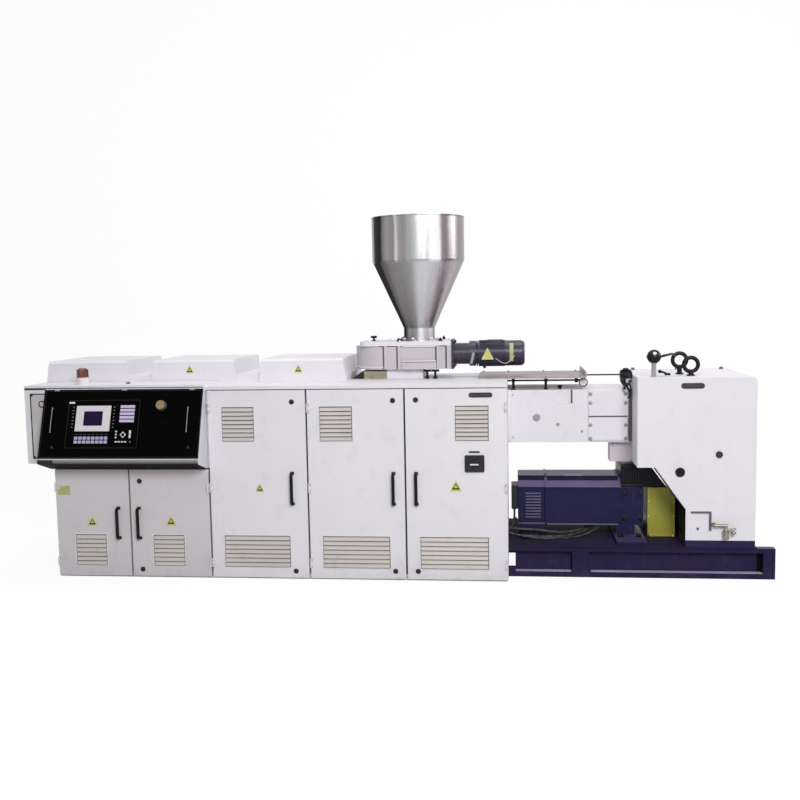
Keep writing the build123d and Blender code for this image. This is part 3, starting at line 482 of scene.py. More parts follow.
def laySweep():  # floor that curves up into a backdrop
    rear, curve = studio["rear"], studio["curve"]
    rows = [(studio["front"], 0.0), (rear - curve, 0.0)]
    rows += [(rear - curve + curve * math.sin(a), curve - curve * math.cos(a)) for a in arc(0, 90, 12)[1:]]
    rows.append((rear, studio["top"]))
    bm = bmesh.new()
    sides = [[bm.verts.new((x, y, z)) for y, z in rows] for x in (-studio["half"], studio["half"])]
    for i in range(len(rows) - 1):
        bm.faces.new((sides[0][i], sides[1][i], sides[1][i + 1], sides[0][i + 1]))
    mesh = bpy.data.meshes.new("studioSweep")
    bm.to_mesh(mesh)
    bm.free()
    mesh.shade_smooth()
    sweep = bpy.data.objects.new("studioSweep", mesh)
    bpy.context.scene.collection.objects.link(sweep)
    finish = Finish("studioPaper", (0.5, 0.5, 0.5), 0.8, specular=0.1)
    fibres = finish.noise(3, 3)
    finish.set("Base Color", finish.mix(fibres, (0.49, 0.487, 0.49), (0.51, 0.507, 0.51)))
    share = seenShare(finish) * studio["share"]
    paper = Wire(finish, finish.shader.outputs[0])
    glow = finish.add("ShaderNodeEmission", {}, {"Color": studio["tint"], "Strength": studio["glow"]})
    both = finish.add("ShaderNodeMixShader", {}, {0: share, 1: paper, 2: glow})
    finish.join(finish.nodes["Material Output"].inputs[0], both)
    mesh.materials.append(finish.material)


def lightWorld():
    world = bpy.data.worlds.new("studioWorld")
    bpy.context.scene.world = world
    finish = Finish("studioWorld", None, world=world)
    ground = finish.nodes["Background"]
    ground.inputs[0].default_value = studio["tint"] + (1,)
    finish.join(ground.inputs[1], studio["world"] + seenShare(finish) * (1 - studio["world"]))


aimCamera()
hangLamps()
laySweep()
lightWorld()
bpy.context.scene.view_settings.view_transform = "Standard"
print("camera, lamps and floor placed")


# shapes

def roundedRect(width, height, radius, middle=(0, 0), steps=4):
    points = []
    for quarter, (sx, sy) in enumerate(((1, 1), (-1, 1), (-1, -1), (1, -1))):
        for i in range(steps + 1):
            a = math.pi / 2 * (quarter + i / steps)
            points.append((middle[0] + sx * (width / 2 - radius) + radius * math.cos(a),
                           middle[1] + sy * (height / 2 - radius) + radius * math.sin(a)))
    return points


def roundedTriangle(width, height, radius, middle=(0, 0), steps=4):
    low, high = middle[1] - height / 2, middle[1] + height / 2
    corners = [(middle[0] - width / 2, low), (middle[0] + width / 2, low), (middle[0], high)]
    points = []
    for i, corner in enumerate(corners):
        here = Vector(corner)
        before = (Vector(corners[i - 1]) - here).normalized()
        after = (Vector(corners[(i + 1) % 3]) - here).normalized()
        for k in range(steps + 1):
            t = k / steps
            start, end = here + before * radius, here + after * radius
            points.append(tuple(start * (1 - t) ** 2 + here * 2 * t * (1 - t) + end * t * t))
    return points


def joinRings(bm, first, second):
    count = max(len(first), len(second))
    for i in range(count):
        j = (i + 1) % count
        if len(first) == 1:
            bm.faces.new((first[0], second[i], second[j]))
        elif len(second) == 1:
            bm.faces.new((first[i], second[0], first[j]))
        else:
            bm.faces.new((first[i], second[i], second[j], first[j]))


def addBox(bm, low, high, bevel=1.0, segments=1):
    low, high = Vector(low) * unit, Vector(high) * unit
    verts = bmesh.ops.create_cube(bm, size=1.0)["verts"]
    bmesh.ops.scale(bm, vec=high - low, verts=verts)
    bmesh.ops.translate(bm, vec=(low + high) / 2, verts=verts)
    if bevel:
        edges = list(dict.fromkeys(edge for vert in verts for edge in vert.link_edges))  # always in one order
        bmesh.ops.bevel(bm, geom=edges, offset=bevel * unit, segments=segments, profile=0.5, affect="EDGES")


def layerPoints(bm, outline, origin, right, up, shrink, depth):
    middle = sum((Vector(point) for point in outline), Vector((0, 0))) / len(outline)
    out = right.cross(up)
    points = []
    for point in outline:
        reach = Vector(point) - middle
        point = middle + reach * (1 - shrink / max(reach.length, 1e-6))
        points.append(bm.verts.new((origin + right * point.x + up * point.y + out * depth) * unit))
    return points


def addPlate(bm, outline, origin, thickness, chamfer=0.5, right=(1, 0, 0), up=(0, 0, 1), hole=None):
    origin, right, up = Vector(origin), Vector(right), Vector(up)
    rings = [layerPoints(bm, outline, origin, right, up, shrink, depth)
             for shrink, depth in ((0, 0), (0, thickness - chamfer), (chamfer, thickness))]
    if hole:
        rings += [layerPoints(bm, hole, origin, right, up, shrink, depth)
                  for shrink, depth in ((-chamfer, thickness), (0, thickness - chamfer), (0, 0))]
        rings.append(rings[0])
    else:
        bm.faces.new(rings[0])
        bm.faces.new(rings[-1])
    for first, second in zip(rings, rings[1:]):
        joinRings(bm, first, second)


def addRound(bm, profile, origin, axis=(0, 0, 1), steps=32, closed=False):
    axis = Vector(axis).normalized()
    side = axis.orthogonal().normalized()
    other = axis.cross(side)
    rings = []
    for radius, along in profile:
        centre = Vector(origin) + axis * along
        turns = arc(0, 360, steps)[:-1] if radius > 1e-6 else [0]
        spokes = [side * math.cos(a) + other * math.sin(a) for a in turns]
        rings.append([bm.verts.new((centre + spoke * radius) * unit) for spoke in spokes])
    if closed:
        rings.append(rings[0])
    for first, second in zip(rings, rings[1:]):
        joinRings(bm, first, second)


def addHex(bm, across, height, origin, axis=(0, 0, 1), washer=0.0):
    corner = across / math.sqrt(3)
    if washer:
        rim = across * 0.78
        disc = [(0, 0), (rim, 0), (rim, washer * 0.7), (across * 0.72, washer), (0, washer)]
        addRound(bm, disc, origin, axis, 20)
        origin = Vector(origin) + Vector(axis).normalized() * washer
    nut = [(0, 0), (corner, 0), (corner, height * 0.8), (corner * 0.86, height), (0, height)]
    addRound(bm, nut, origin, axis, 6)


def addTube(bm, points, outline, up=None):  # an outline run along a path, with closed ends
    points = [Vector(point) for point in points]
    rings = []
    side = None
    for i, point in enumerate(points):
        ahead = (points[min(i + 1, len(points) - 1)] - points[max(i - 1, 0)]).normalized()
        if up:
            side = Vector(up)
        else:
            side = (side - ahead * side.dot(ahead)).normalized() if side else ahead.orthogonal().normalized()
        other = ahead.cross(side)
        rings.append([bm.verts.new((point + side * x + other * y) * unit) for x, y in outline])
    for first, second in zip(rings, rings[1:]):
        joinRings(bm, first, second)
    bm.faces.new(rings[0])
    bm.faces.new(rings[-1])


def addBar(bm, outline, ends, crosswise=False):  # a straight bar with this outline, along X or along Y
    rings = []
    for end in ends:
        corners = [(a, end, b) if crosswise else (end, a, b) for a, b in outline]
        rings.append([bm.verts.new(Vector(corner) * unit) for corner in corners])
    joinRings(bm, *rings)
    for ring in rings:
        bm.faces.new(ring)


def circle(radius, steps=12):
    return [(radius * math.cos(a), radius * math.sin(a)) for a in arc(0, 360, steps)[:-1]]


stretches = 5  # straight stretches between two given points of a path


def smoothPath(points):
    points = [Vector(point) for point in points]
    padded = [points[0] * 2 - points[1]] + points + [points[-1] * 2 - points[-2]]
    result = []
    for a, b, c, d in zip(padded, padded[1:], padded[2:], padded[3:]):
        for k in range(stretches):
            t = k / stretches
            bend = (2 * a - 5 * b + 4 * c - d) * t ** 2 + (3 * b - a - 3 * c + d) * t ** 3
            result.append(0.5 * (2 * b + (c - a) * t + bend))
    return result + [points[-1]]


def meshOf(bm, name):
    bmesh.ops.remove_doubles(bm, verts=bm.verts, dist=1e-7)
    bmesh.ops.recalc_face_normals(bm, faces=bm.faces)
    mesh = bpy.data.meshes.new(name)
    bm.to_mesh(mesh)
    bm.free()
    return mesh


crease = 38  # degrees, edges sharper than this aren't smoothed


def keep(name, mesh, look, body):
    mesh.shade_smooth()
    mesh.set_sharp_from_angle(angle=math.radians(crease))
    piece = bpy.data.objects.new(name, mesh)
    bpy.context.scene.collection.objects.link(piece)
    if not mesh.materials:
        mesh.materials.append(looks[look])
    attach(piece, body)
    return piece


def made(name, build, look, body):  # a piece from one building function
    bm = bmesh.new()
    build(bm)
    return keep(name, meshOf(bm, name), look, body)


# repeats: a grid of rows and columns, and a ring

def startTree(name, inputs):
    tree = bpy.data.node_groups.new(name, "GeometryNodeTree")
    tree.interface.new_socket("Piece", in_out="INPUT", socket_type="NodeSocketGeometry")
    for label, kind in inputs:
        tree.interface.new_socket(label, in_out="INPUT", socket_type="NodeSocket" + kind)
    tree.interface.new_socket("Result", in_out="OUTPUT", socket_type="NodeSocketGeometry")
    return tree, tree.nodes.new("NodeGroupInput"), tree.nodes.new("NodeGroupOutput")


def treeStep(tree, kind, inputs, settings=None):
    node = tree.nodes.new(kind)
    for key, value in (settings or {}).items():
        setattr(node, key, value)
    for key, value in inputs.items():
        if isinstance(value, bpy.types.NodeSocket):
            tree.links.new(value, node.inputs[key])
        else:
            node.inputs[key].default_value = value
    return node


def endTree(tree, geometry, given, leave):
    real = treeStep(tree, "GeometryNodeRealizeInstances", {"Geometry": geometry})
    dressed = treeStep(tree, "GeometryNodeSetMaterial", {"Geometry": real.outputs[0],
                                                         "Material": given.outputs["Finish"]})
    tree.links.new(dressed.outputs[0], leave.inputs[0])
    return tree


def gridTree():
    tree, given, leave = startTree("rowsAndColumns", (
        ("Columns", "Int"), ("Column step", "Vector"), ("Rows", "Int"), ("Row step", "Vector"),
        ("Start", "Vector"), ("Finish", "Material")))
    take = given.outputs
    row = treeStep(tree, "GeometryNodeMeshLine",
                   {"Count": take["Columns"], "Start Location": take["Start"], "Offset": take["Column step"]})
    first = treeStep(tree, "GeometryNodeInstanceOnPoints",
                     {"Points": row.outputs[0], "Instance": take["Piece"]})
    solid = treeStep(tree, "GeometryNodeRealizeInstances", {"Geometry": first.outputs[0]})
    stack = treeStep(tree, "GeometryNodeMeshLine",
                     {"Count": take["Rows"], "Start Location": (0, 0, 0), "Offset": take["Row step"]})
    second = treeStep(tree, "GeometryNodeInstanceOnPoints",
                      {"Points": stack.outputs[0], "Instance": solid.outputs[0]})
    return endTree(tree, second.outputs[0], given, leave)


def ringTree():
    tree, given, leave = startTree("ringOfPieces", (
        ("Count", "Int"), ("Radius", "Float"), ("Tilt", "Vector"), ("Centre", "Vector"),
        ("Finish", "Material")))
    take = given.outputs
    ring = treeStep(tree, "GeometryNodeMeshCircle", {"Vertices": take["Count"], "Radius": take["Radius"]})
    index = treeStep(tree, "GeometryNodeInputIndex", {})
    part = treeStep(tree, "ShaderNodeMath", {0: 2 * math.pi, 1: take["Count"]}, {"operation": "DIVIDE"})
    angle = treeStep(tree, "ShaderNodeMath", {0: index.outputs[0], 1: part.outputs[0]},
                     {"operation": "MULTIPLY"})
    spin = treeStep(tree, "ShaderNodeCombineXYZ", {"Z": angle.outputs[0]})
    copies = treeStep(tree, "GeometryNodeInstanceOnPoints",
                      {"Points": ring.outputs[0], "Instance": take["Piece"], "Rotation": spin.outputs[0]})
    placed = treeStep(tree, "GeometryNodeTransform", {"Geometry": copies.outputs[0],
                                                      "Rotation": take["Tilt"],
                                                      "Translation": take["Centre"]})
    return endTree(tree, placed.outputs[0], given, leave)


trees = {"grid": gridTree(), "ring": ringTree()}


def repeat(kind, build, values, look):
    bm = bmesh.new()
    build(bm)
    tree = trees[kind]
    holder = bpy.data.objects.new("repeat", meshOf(bm, "repeat"))
    bpy.context.scene.collection.objects.link(holder)
    modifier = holder.modifiers.new("repeat", "NODES")
    modifier.node_group = tree
    sockets = {item.name: item.identifier for item in tree.interface.items_tree if item.in_out == "INPUT"}
    for label, value in values.items():
        if isinstance(value, (tuple, Vector)) and label != "Tilt":
            value = tuple(part * unit for part in value)
        modifier[sockets[label]] = value
    modifier[sockets["Finish"]] = looks[look]
    graph = bpy.context.evaluated_depsgraph_get()
    mesh = bpy.data.meshes.new_from_object(holder.evaluated_get(graph))
    holder.modifiers.clear()
    bpy.data.objects.remove(holder)
    return mesh


def gridOf(build, start, columns, columnStep, rows=1, rowStep=(0, 0, 0), look="white"):
    values = {"Columns": columns, "Column step": columnStep, "Rows": rows, "Row step": rowStep,
              "Start": start}
    return repeat("grid", build, values, look)


def ringOf(build, count, radius, tilt, centre, look="white"):
    values = {"Count": count, "Radius": radius * unit, "Tilt": tilt, "Centre": centre}
    return repeat("ring", build, values, look)


def merged(name, meshes, body):  # several repeats as one piece
    bm = bmesh.new()
    for mesh in meshes:
        bm.from_mesh(mesh)
    joined = bpy.data.meshes.new(name)
    bm.to_mesh(joined)
    bm.free()
    joined.materials.append(meshes[0].materials[0])
    return keep(name, joined, None, body)


def boxOf(node):  # a node's corners in millimetres
    return [[value / unit for value in corner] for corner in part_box(node)]


def middleOf(low, high):
    return [(a + b) / 2 for a, b in zip(low, high)]


faceY = -410.0  # front of the doors
outward = (0, -1, 0)
alongX = (0, math.pi / 2, 0)  # tilt that turns a ring's axis from Z to X


# door furniture: louvres, handles, locks, signs

vents = {  # left edge, bottom, width, height and louvres
    "door_1": ((-2140, 82, 215, 213, 7),),
    "door_2": ((-1600, 82, 215, 213, 7),),
    "door_3": ((-1111, 82, 443, 213, 7), (-1104, 920, 215, 227, 8)),
    "door_4": ((-451, 82, 443, 213, 7), (-455, 920, 215, 227, 8)),
    "door_5": ((189, 82, 443, 213, 7), (422, 920, 215, 227, 8)),
}
louvre = {"recess": 11.4, "proud": 1.5, "thickness": 1.4, "side": 5, "foot": 3}


def ventPieces(door, number, left, bottom, width, height, count):
    pitch = (height - 2 * louvre["foot"]) / count
    back, proud, skin = faceY + louvre["recess"], faceY - louvre["proud"], louvre["thickness"]
    rise = pitch * 0.86

    def slat(bm):
        outer = [(back, rise), (back - 4.2, rise - 1.4), (back - 8.6, rise - 6.5), (proud + 0.7, rise * 0.42),
                 (proud, 4.6), (proud, 2.0)]
        inner = [(proud + skin, 2.0), (proud + skin, 4.4), (proud + skin + 1.2, rise * 0.4),
                 (back - 7.2, rise - 7.9), (back - 3.4, rise - 3.1), (back, rise - 2.0)]
        addBar(bm, outer + inner, (louvre["side"], width - louvre["side"]))

    slats = gridOf(slat, (left, 0, bottom + louvre["foot"]), 1, (0, 0, 0), count, (0, 0, pitch), "vent")
    body = door + "_leaf"
    keep(f"{door}_louvres_{number}", slats, None, body)
    middle = (left + width / 2, faceY, bottom + height / 2)
    made(f"{door}_ventRim_{number}",
         lambda bm: addPlate(bm, roundedRect(width + 12, height + 12, 3), middle, 1.8, 0.6,
                             hole=roundedRect(width - 1, height - 1, 1.5)), "white", body)
    behind = (middle[0], faceY + 11.7, middle[2])
    made(f"{door}_gauze_{number}",
         lambda bm: addPlate(bm, roundedRect(width - 3, height - 3, 1), behind, 0.5, 0.1),
         "gauze", body)


for door, rows in vents.items():
    for number, row in enumerate(rows, 1):
        ventPieces(door, number, *row)
print("louvres made")

handle = {"section": (21, 14), "corner": 5, "bend": 15, "inset": 11, "foot": (27, 21.5)}


def handleBar(bm, low, high):
    x = middleOf(low, high)[0]
    reach = low[1] + handle["section"][1] / 2 + 0.3
    foot, top, bend = low[2] + handle["inset"], high[2] - handle["inset"], handle["bend"]
    quarter = [(bend * math.sin(a), bend * math.cos(a)) for a in arc(0, 90, 6)]
    path = [(x, faceY - 0.2, foot)]
    path += [(x, reach + bend - across, foot + bend - up) for across, up in quarter]
    path += [(x, reach, foot + (top - foot) * k / 8) for k in range(1, 8)]
    path += [(x, reach + bend - up, top - bend + across) for across, up in quarter]
    path.append((x, faceY - 0.2, top))
    addTube(bm, path, roundedRect(*handle["section"], handle["corner"], steps=3), up=(1, 0, 0))
    for z in (foot, top):
        addPlate(bm, roundedRect(*handle["foot"], 5), (x, faceY, z), 3.2, 1.0)


for index in range(1, 6):
    node, leaf = f"door_{index}_handle", f"door_{index}_leaf"
    low, high = boxOf(node)
    bar = made(f"handleBar_{index}", lambda bm: handleBar(bm, low, high), "grip", leaf)
    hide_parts(node)

locks = {  # across and up
    "door_2": ((-1680, 657), (-1680, 60)),
    "door_3": ((-635, 1179), (-635, 59)),
    "door_4": ((25, 1183), (25, 66)),
    "door_5": ((173, 1186), (173, 67)),
}
lockProfile = [(0, 0), (17, 0), (17, 1.6), (15.6, 2.4), (14, 2.6), (13.4, 7.2), (12.2, 8.2), (8.6, 8.2),
               (8, 5.2), (0, 5.2)]


def lockBodies(bm, places):  # round bodies with a triangular pin
    for x, z in places:
        addRound(bm, lockProfile, (x, faceY, z), outward, 36)
        addPlate(bm, roundedTriangle(9.5, 9, 1.5), (x, faceY - 5.1, z), 2.6, 0.5)


for door, places in locks.items():
    made(f"{door}_locks", lambda bm: lockBodies(bm, places), "trim", f"{door}_leaf")

signs = {  # middle across, foot, width, height
    "door_1": (-2019, 351, 78, 69),
    "door_2": (-1473, 358, 78, 70),
    "door_3": (-863, 586, 64, 60),
    "door_5": (424, 594, 82, 74),
}


def signPlate(bm, x, foot, width, height, y):
    addPlate(bm, roundedTriangle(width, height, 9), (x, y, foot + height / 2), 1.1, 0.3)


def signRim(bm, x, foot, width, height, y):
    middle = (x, y - 1.0, foot + height / 2 - 3)
    addPlate(bm, roundedTriangle(width * 0.62, height * 0.60, 6), middle, 0.5, 0.15,
             hole=roundedTriangle(width * 0.34, height * 0.32, 4))


hoodSigns = {"face": -90, "size": (66, 58), "places": {2: (-1412, 1349), 3: (-653, 1346)}}


def makeSign(name, rimName, place, size, y, body):
    made(name, lambda bm: signPlate(bm, *place, *size, y), "yellow", body)
    made(rimName, lambda bm: signRim(bm, *place, *size, y), "trim", body)


for door, (x, foot, width, height) in signs.items():
    makeSign(f"{door}_sign", f"{door}_signRim", (x, foot), (width, height), faceY, f"{door}_leaf")
for index, place in hoodSigns["places"].items():
    makeSign(f"hoodSign_{index}", f"hoodSignRim_{index}", place, hoodSigns["size"], hoodSigns["face"],
             "machine")

barePlates = {  # middle, width, height and face, then body
    "doorPlate": ((587, 1214.5, 150, 31, faceY), "door_5_leaf"),
    "gearboxPlate": ((1927.5, 1247, 145, 36, -250), "machine"),
}


def plateRim(bm, x, z, width, height, y):
    inner = roundedRect(width - 12, height - 12, height / 2 - 7, steps=7)
    addPlate(bm, roundedRect(width, height, height / 2 - 1, steps=7), (x, y, z), 3.2, 1.0, hole=inner)


def plateField(bm, x, z, width, height, y):
    addPlate(bm, roundedRect(width - 11, height - 11, height / 2 - 7, steps=7), (x, y, z), 2.0, 0.3)


for name, (place, body) in barePlates.items():
    made(name + "Rim", lambda bm: plateRim(bm, *place), "trim", body)
    made(name + "Field", lambda bm: plateField(bm, *place), "plate", body)
made("switchLabel", lambda bm: addPlate(bm, roundedRect(71, 12, 5.5), (543.5, faceY, 849), 1.4, 0.4), "trim",
     "door_5_leaf")
made("doorLabel", lambda bm: addPlate(bm, roundedRect(84, 62, 6), (-2207, faceY, 594), 0.9, 0.3), "label",
     "door_1_leaf")


def switchTrim(bm):
    low, high = boxOf("main_switch_base")
    x, _, z = middleOf(low, high)
    width, height = high[0] - low[0], high[2] - low[2]
    addPlate(bm, roundedRect(width + 6, height + 6, 9), (x, faceY, z), 5, 1.5,
             hole=roundedRect(width - 1, height - 1, 6))
    addPlate(bm, roundedRect(width - 6, height - 6, 10), (x, low[1], z), 1.6, 0.6,
             hole=roundedRect(width - 18, height - 18, 6))
    for sx in (-1, 1):
        for sz in (-1, 1):
            corner = (x + sx * (width / 2 - 13), low[1], z + sz * (height / 2 - 13))
            addRound(bm, [(0, 0), (3.6, 0), (3.2, 1.6), (0, 1.8)], corner, outward, 14)


made("switchTrim", switchTrim, "trim", "door_5_leaf")
knobLow, knobHigh = boxOf("main_switch_knob")
knobX, _, knobZ = middleOf(knobLow, knobHigh)
knobFront = (knobX, knobLow[1], knobZ)
made("switchGripInlay", lambda bm: addPlate(bm, roundedRect(54, 9, 3), knobFront, 0.8, 0.3), "pale",
     "switch_knob")
print("door furniture made")

# operator console, laid out in its sloping face: x from its middle, y up from its nose, z out

panel = {"origin": (-1752, -590, 828), "lean": (166, 449), "face": 10.0, "moduleFace": 16.0}
slope = math.atan2(*panel["lean"])
panelRight = Vector((1, 0, 0))
panelUp = Vector((0, math.sin(slope), math.cos(slope)))
panelOut = panelRight.cross(panelUp)
panelFace, moduleFace = panel["face"], panel["moduleFace"]


def onPanel(x, y, z=panelFace):
    return Vector(panel["origin"]) + panelRight * x + panelUp * y + panelOut * z


def panelPlate(bm, x, y, width, height, radius, thickness, z=moduleFace, chamfer=0.5, hole=None):
    outline = roundedRect(width, height, radius)
    addPlate(bm, outline, onPanel(x, y, z), thickness, chamfer, panelRight, panelUp, hole)


module = {"left": -358, "right": 128, "bottom": 75, "top": 396, "rim": 5}
border = {"rows": (461, 16), "row": (6, 1058), "sides": (-528, 536), "side": (238, 440), "line": 2.4,
          "screws": (-448, 468), "screwRise": 81}


def consoleTrim(bm):  # edge lines of the panel and of its key field, and two screws
    width, height, rim = module["right"] - module["left"], module["top"] - module["bottom"], module["rim"]
    middle = (module["left"] + width / 2, module["bottom"] + height / 2)
    panelPlate(bm, *middle, width, height, 6, 1.0, hole=roundedRect(width - rim, height - rim, 4))
    for y in border["rows"]:
        panelPlate(bm, border["row"][0], y, border["row"][1], border["line"], 1, 1.0, panelFace, 0.3)
    for x in border["sides"]:
        panelPlate(bm, x, border["side"][0], border["line"], border["side"][1], 1, 1.0, panelFace, 0.3)
    screw = [(0, 0), (9, 0), (9, 2), (7.4, 3.4), (0, 3.4)]
    for x in border["screws"]:
        addRound(bm, screw, onPanel(x, border["screwRise"]), panelOut, 24)


made("consoleTrim", consoleTrim, "trim", "machine")
made("screenBezel", lambda bm: panelPlate(bm, -183, 272, 234, 171, 4, 4.0, hole=roundedRect(129, 97, 2)),
     "bezel", "machine")
made("screenGlass", lambda bm: panelPlate(bm, -181, 271, 131, 99, 2, 2.2), "screen", "machine")

keyFields = {  # first key, key size, columns and step, rows and step, look, height and corner
    "leftKeys": ((-322, 214), (9, 6), (1, 0), (7, 22.5), "bar", 2.2, 1.5),
    "rightKeys": ((-44, 214), (9, 6), (1, 0), (7, 22.5), "bar", 2.2, 1.5),
    "functionKeys": ((-288, 115), (23, 20), (8, 29), (2, 26), "lavender", 3.0, 3),
    "markKeys": ((-288, 166), (16, 6), (8, 29), (1, 0), "plate", 1.5, 2),
    "keypad": ((9, 255), (24, 18), (4, 24.6), (5, 24), "lilac", 3.0, 2.5),
    "smallKeys": ((-14, 116), (15, 9), (4, 21), (1, 0), "bezel", 2.2, 2),
    "endKey": ((80, 116), (9, 8), (1, 0), (1, 0), "bar", 2.2, 2),
    "sideKeys": ((-18, 145), (11, 10), (1, 0), (3, 20), "bezel", 2.2, 2),
}


def keyGrid(name, place, keySize, columns, rows, look, lift, radius):
    def key(bm):
        addPlate(bm, roundedRect(*keySize, radius, steps=2), panelOut * 0, lift, 0.7, panelRight, panelUp)

    start = onPanel(*place, moduleFace)
    mesh = gridOf(key, start, columns[0], panelRight * columns[1], rows[0], panelUp * rows[1], look)
    keep(name, mesh, None, "machine")


for name, field in keyFields.items():
    keyGrid(name, *field)

arrows = {"middle": (29, 163), "size": (22, 11), "reach": 16}
barKey = {"x": 76, "rows": (180, 153), "size": (12, 24)}


def arrowKeys(bm):
    for a in arc(0, 270, 3):
        right = panelRight * math.cos(a) + panelUp * math.sin(a)
        up = panelUp * math.cos(a) - panelRight * math.sin(a)
        place = onPanel(*arrows["middle"], moduleFace) + up * arrows["reach"]
        addPlate(bm, roundedTriangle(*arrows["size"], 3), place, 2.6, 0.7, right, up)


def barKeys(bm):
    for y in barKey["rows"]:
        panelPlate(bm, barKey["x"], y, *barKey["size"], 3, 2.4)


made("arrowKeys", arrowKeys, "pale", "machine")
made("barKeys", barKeys, "pale", "machine")
made("ovalField", lambda bm: panelPlate(bm, -336, 379, 40, 12, 5.5, 1.2), "pale", "machine")

grab = {"sides": (-468, 451), "posts": (185, 343), "foot": 178, "step": 8.1, "stand": 10, "radius": 3.4}
clips = {"places": (-452, 10, 467), "rise": 466, "size": (36, 9)}


def grabBars(bm):
    for x in grab["sides"]:
        for y in grab["posts"]:
            addRound(bm, [(0, 0), (4, 0), (4, 9), (0, 9)], onPanel(x, y), panelOut, 16)
        path = [onPanel(x, grab["foot"] + grab["step"] * i, panelFace + grab["stand"]) for i in range(22)]
        addTube(bm, path, circle(grab["radius"]))


def edgeClips(bm):
    for x in clips["places"]:
        addPlate(bm, roundedRect(*clips["size"], 3), onPanel(x, clips["rise"]), 2.6, 0.8, panelRight, panelUp)
        top = onPanel(x, clips["rise"], panelFace + 2.5)
        addRound(bm, [(0, 0), (3, 0), (2.4, 1.6), (0, 1.8)], top, panelOut, 12)


made("grabBars", grabBars, "bar", "machine")
made("edgeClips", edgeClips, "lipGrey", "machine")


def consoleUnderShade(bm):  # painted shade: a near-black sheet over the console's sloping underside
    low, high = boxOf("console_housing")
    outline = [(low[1] + 2, 802.5), (low[1] + 3.4, 799.4), (faceY - 2, 738.6), (faceY - 1, 741.4)]
    addBar(bm, outline, (low[0] + 2, high[0] - 2))


def stopCollar(bm):
    profile = [(15, 0), (35, 0), (35, 2.4), (32, 4.2), (15, 4.2)]
    addRound(bm, profile, onPanel(271, 357), panelOut, 40, closed=True)


made("consoleUnderShade", consoleUnderShade, "shade", "machine")
made("stopCollar", stopCollar, "trim", "machine")

head = {"front": -416, "screws": ((-2397, 1236), (-2399, 820)), "ring": (-2328, 1176), "rim": 15,
        "roofShadowLines": (((-2448, -413, 1270.5), (-1900, -408, 1282.6)),
                      ((-1900, -411.4, 1277.6), (-1222, -408, 1282.6)))}


def headDetails(bm):  # screws, pull ring, the side cover's edge and a painted shadow line below the roof
    for x, z in head["screws"]:
        addRound(bm, [(0, 0), (9, 0), (9, 1.5), (7, 4), (0, 4.6)], (x, head["front"], z), outward, 20)
    x, z = head["ring"]
    ring = [(17, 0), (23, 0), (23, 4), (20, 6), (17, 5)]
    addRound(bm, ring, (x, head["front"], z), outward, 36, closed=True)
    low, high = boxOf("head_cover")
    x, _, z = middleOf(low, high)
    width, height = high[0] - low[0], high[2] - low[2]
    addPlate(bm, roundedRect(width, height, 3), (x, low[1], z), 1.2, 0.4,
             hole=roundedRect(width - head["rim"], height - head["rim"], 2))
    for start, end in head["roofShadowLines"]:
        addBox(bm, start, end, 0.6)


def roofStud(bm):
    addRound(bm, [(0, 0), (17, 0), (17, 3), (10, 6), (9, 9), (0, 10)], (-1786, -262, 1297), steps=24)


def beaconRing(bm):
    low, high = boxOf("beacon_base")
    x, y, _ = middleOf(low, high)
    addRound(bm, [(38, -3), (43, -3), (43, 4), (41, 6), (38, 6)], (x, y, high[2]), steps=40, closed=True)
    addRound(bm, [(41, 0), (46, 0), (46, 4), (43, 7), (41, 7)], (x, y, low[2]), steps=40, closed=True)


def domeRib(bm):
    addBox(bm, (-1.5, -1.4, 0), (1.0, 1.4, 56), 0.6)


made("headLocks", headDetails, "trim", "machine")
made("roofStud", roofStud, "trim", "machine")
made("beaconRings", beaconRing, "pale", "machine")
domeLow, domeHigh = boxOf("beacon_dome")
domeFoot = (*middleOf(domeLow, domeHigh)[:2], domeLow[2] + 3)
keep("beaconRibs", ringOf(domeRib, 24, 37.2, (0, 0, 0), domeFoot, "amber"), None, "machine")
print("console and head made")

# feeder and hopper

hopper = {"x": 144.0, "y": 255.0, "rim": 2391.0, "drum": 2094.0, "radius": 320.0, "cone": 1629.0,
          "neck": 108.0, "plate": 1541.0, "seams": (205, 25)}  # seams in degrees
hopperMiddle = (hopper["x"], hopper["y"], 0)


def hopperBeads(bm):  # rolled beads and upright weld seams
    radius, neck = hopper["radius"], hopper["neck"]
    beads = ((radius, hopper["rim"] - 5, 5.0, 10, 96), (radius, hopper["drum"], 2.2, 10, 96),
             (neck, hopper["cone"], 2, 8, 64))
    for reach, z, size, sides, steps in beads:
        bead = [(reach - 1 + x, z + y) for x, y in circle(size, sides)]
        addRound(bm, bead, hopperMiddle, steps=steps, closed=True)
    corners = [(radius + 0.2, hopper["rim"] - 8), (radius + 0.2, hopper["drum"] + 1),
               (neck + 0.4, hopper["cone"] + 1), (neck + 0.2, hopper["plate"] + 14)]
    for turn in hopper["seams"]:
        side = Vector((math.cos(math.radians(turn)), math.sin(math.radians(turn)), 0))
        points = []
        for (r1, z1), (r2, z2) in zip(corners, corners[1:]):
            for k in range(8):
                reach, z = r1 + (r2 - r1) * k / 8, z1 + (z2 - z1) * k / 8
                points.append(Vector(hopperMiddle) + side * reach + Vector((0, 0, z)))
        addTube(bm, points, circle(1.8, 8))


made("hopperBeads", hopperBeads, "hopper", "machine")
flangeBolts = ringOf(lambda bm: addHex(bm, 16, 9, (0, 0, 0), washer=2), 12, 132, (0, 0, math.radians(15)),
                     (hopper["x"], hopper["y"], hopper["plate"] + 12), "bright")
keep("hopperBolts", flangeBolts, None, "machine")

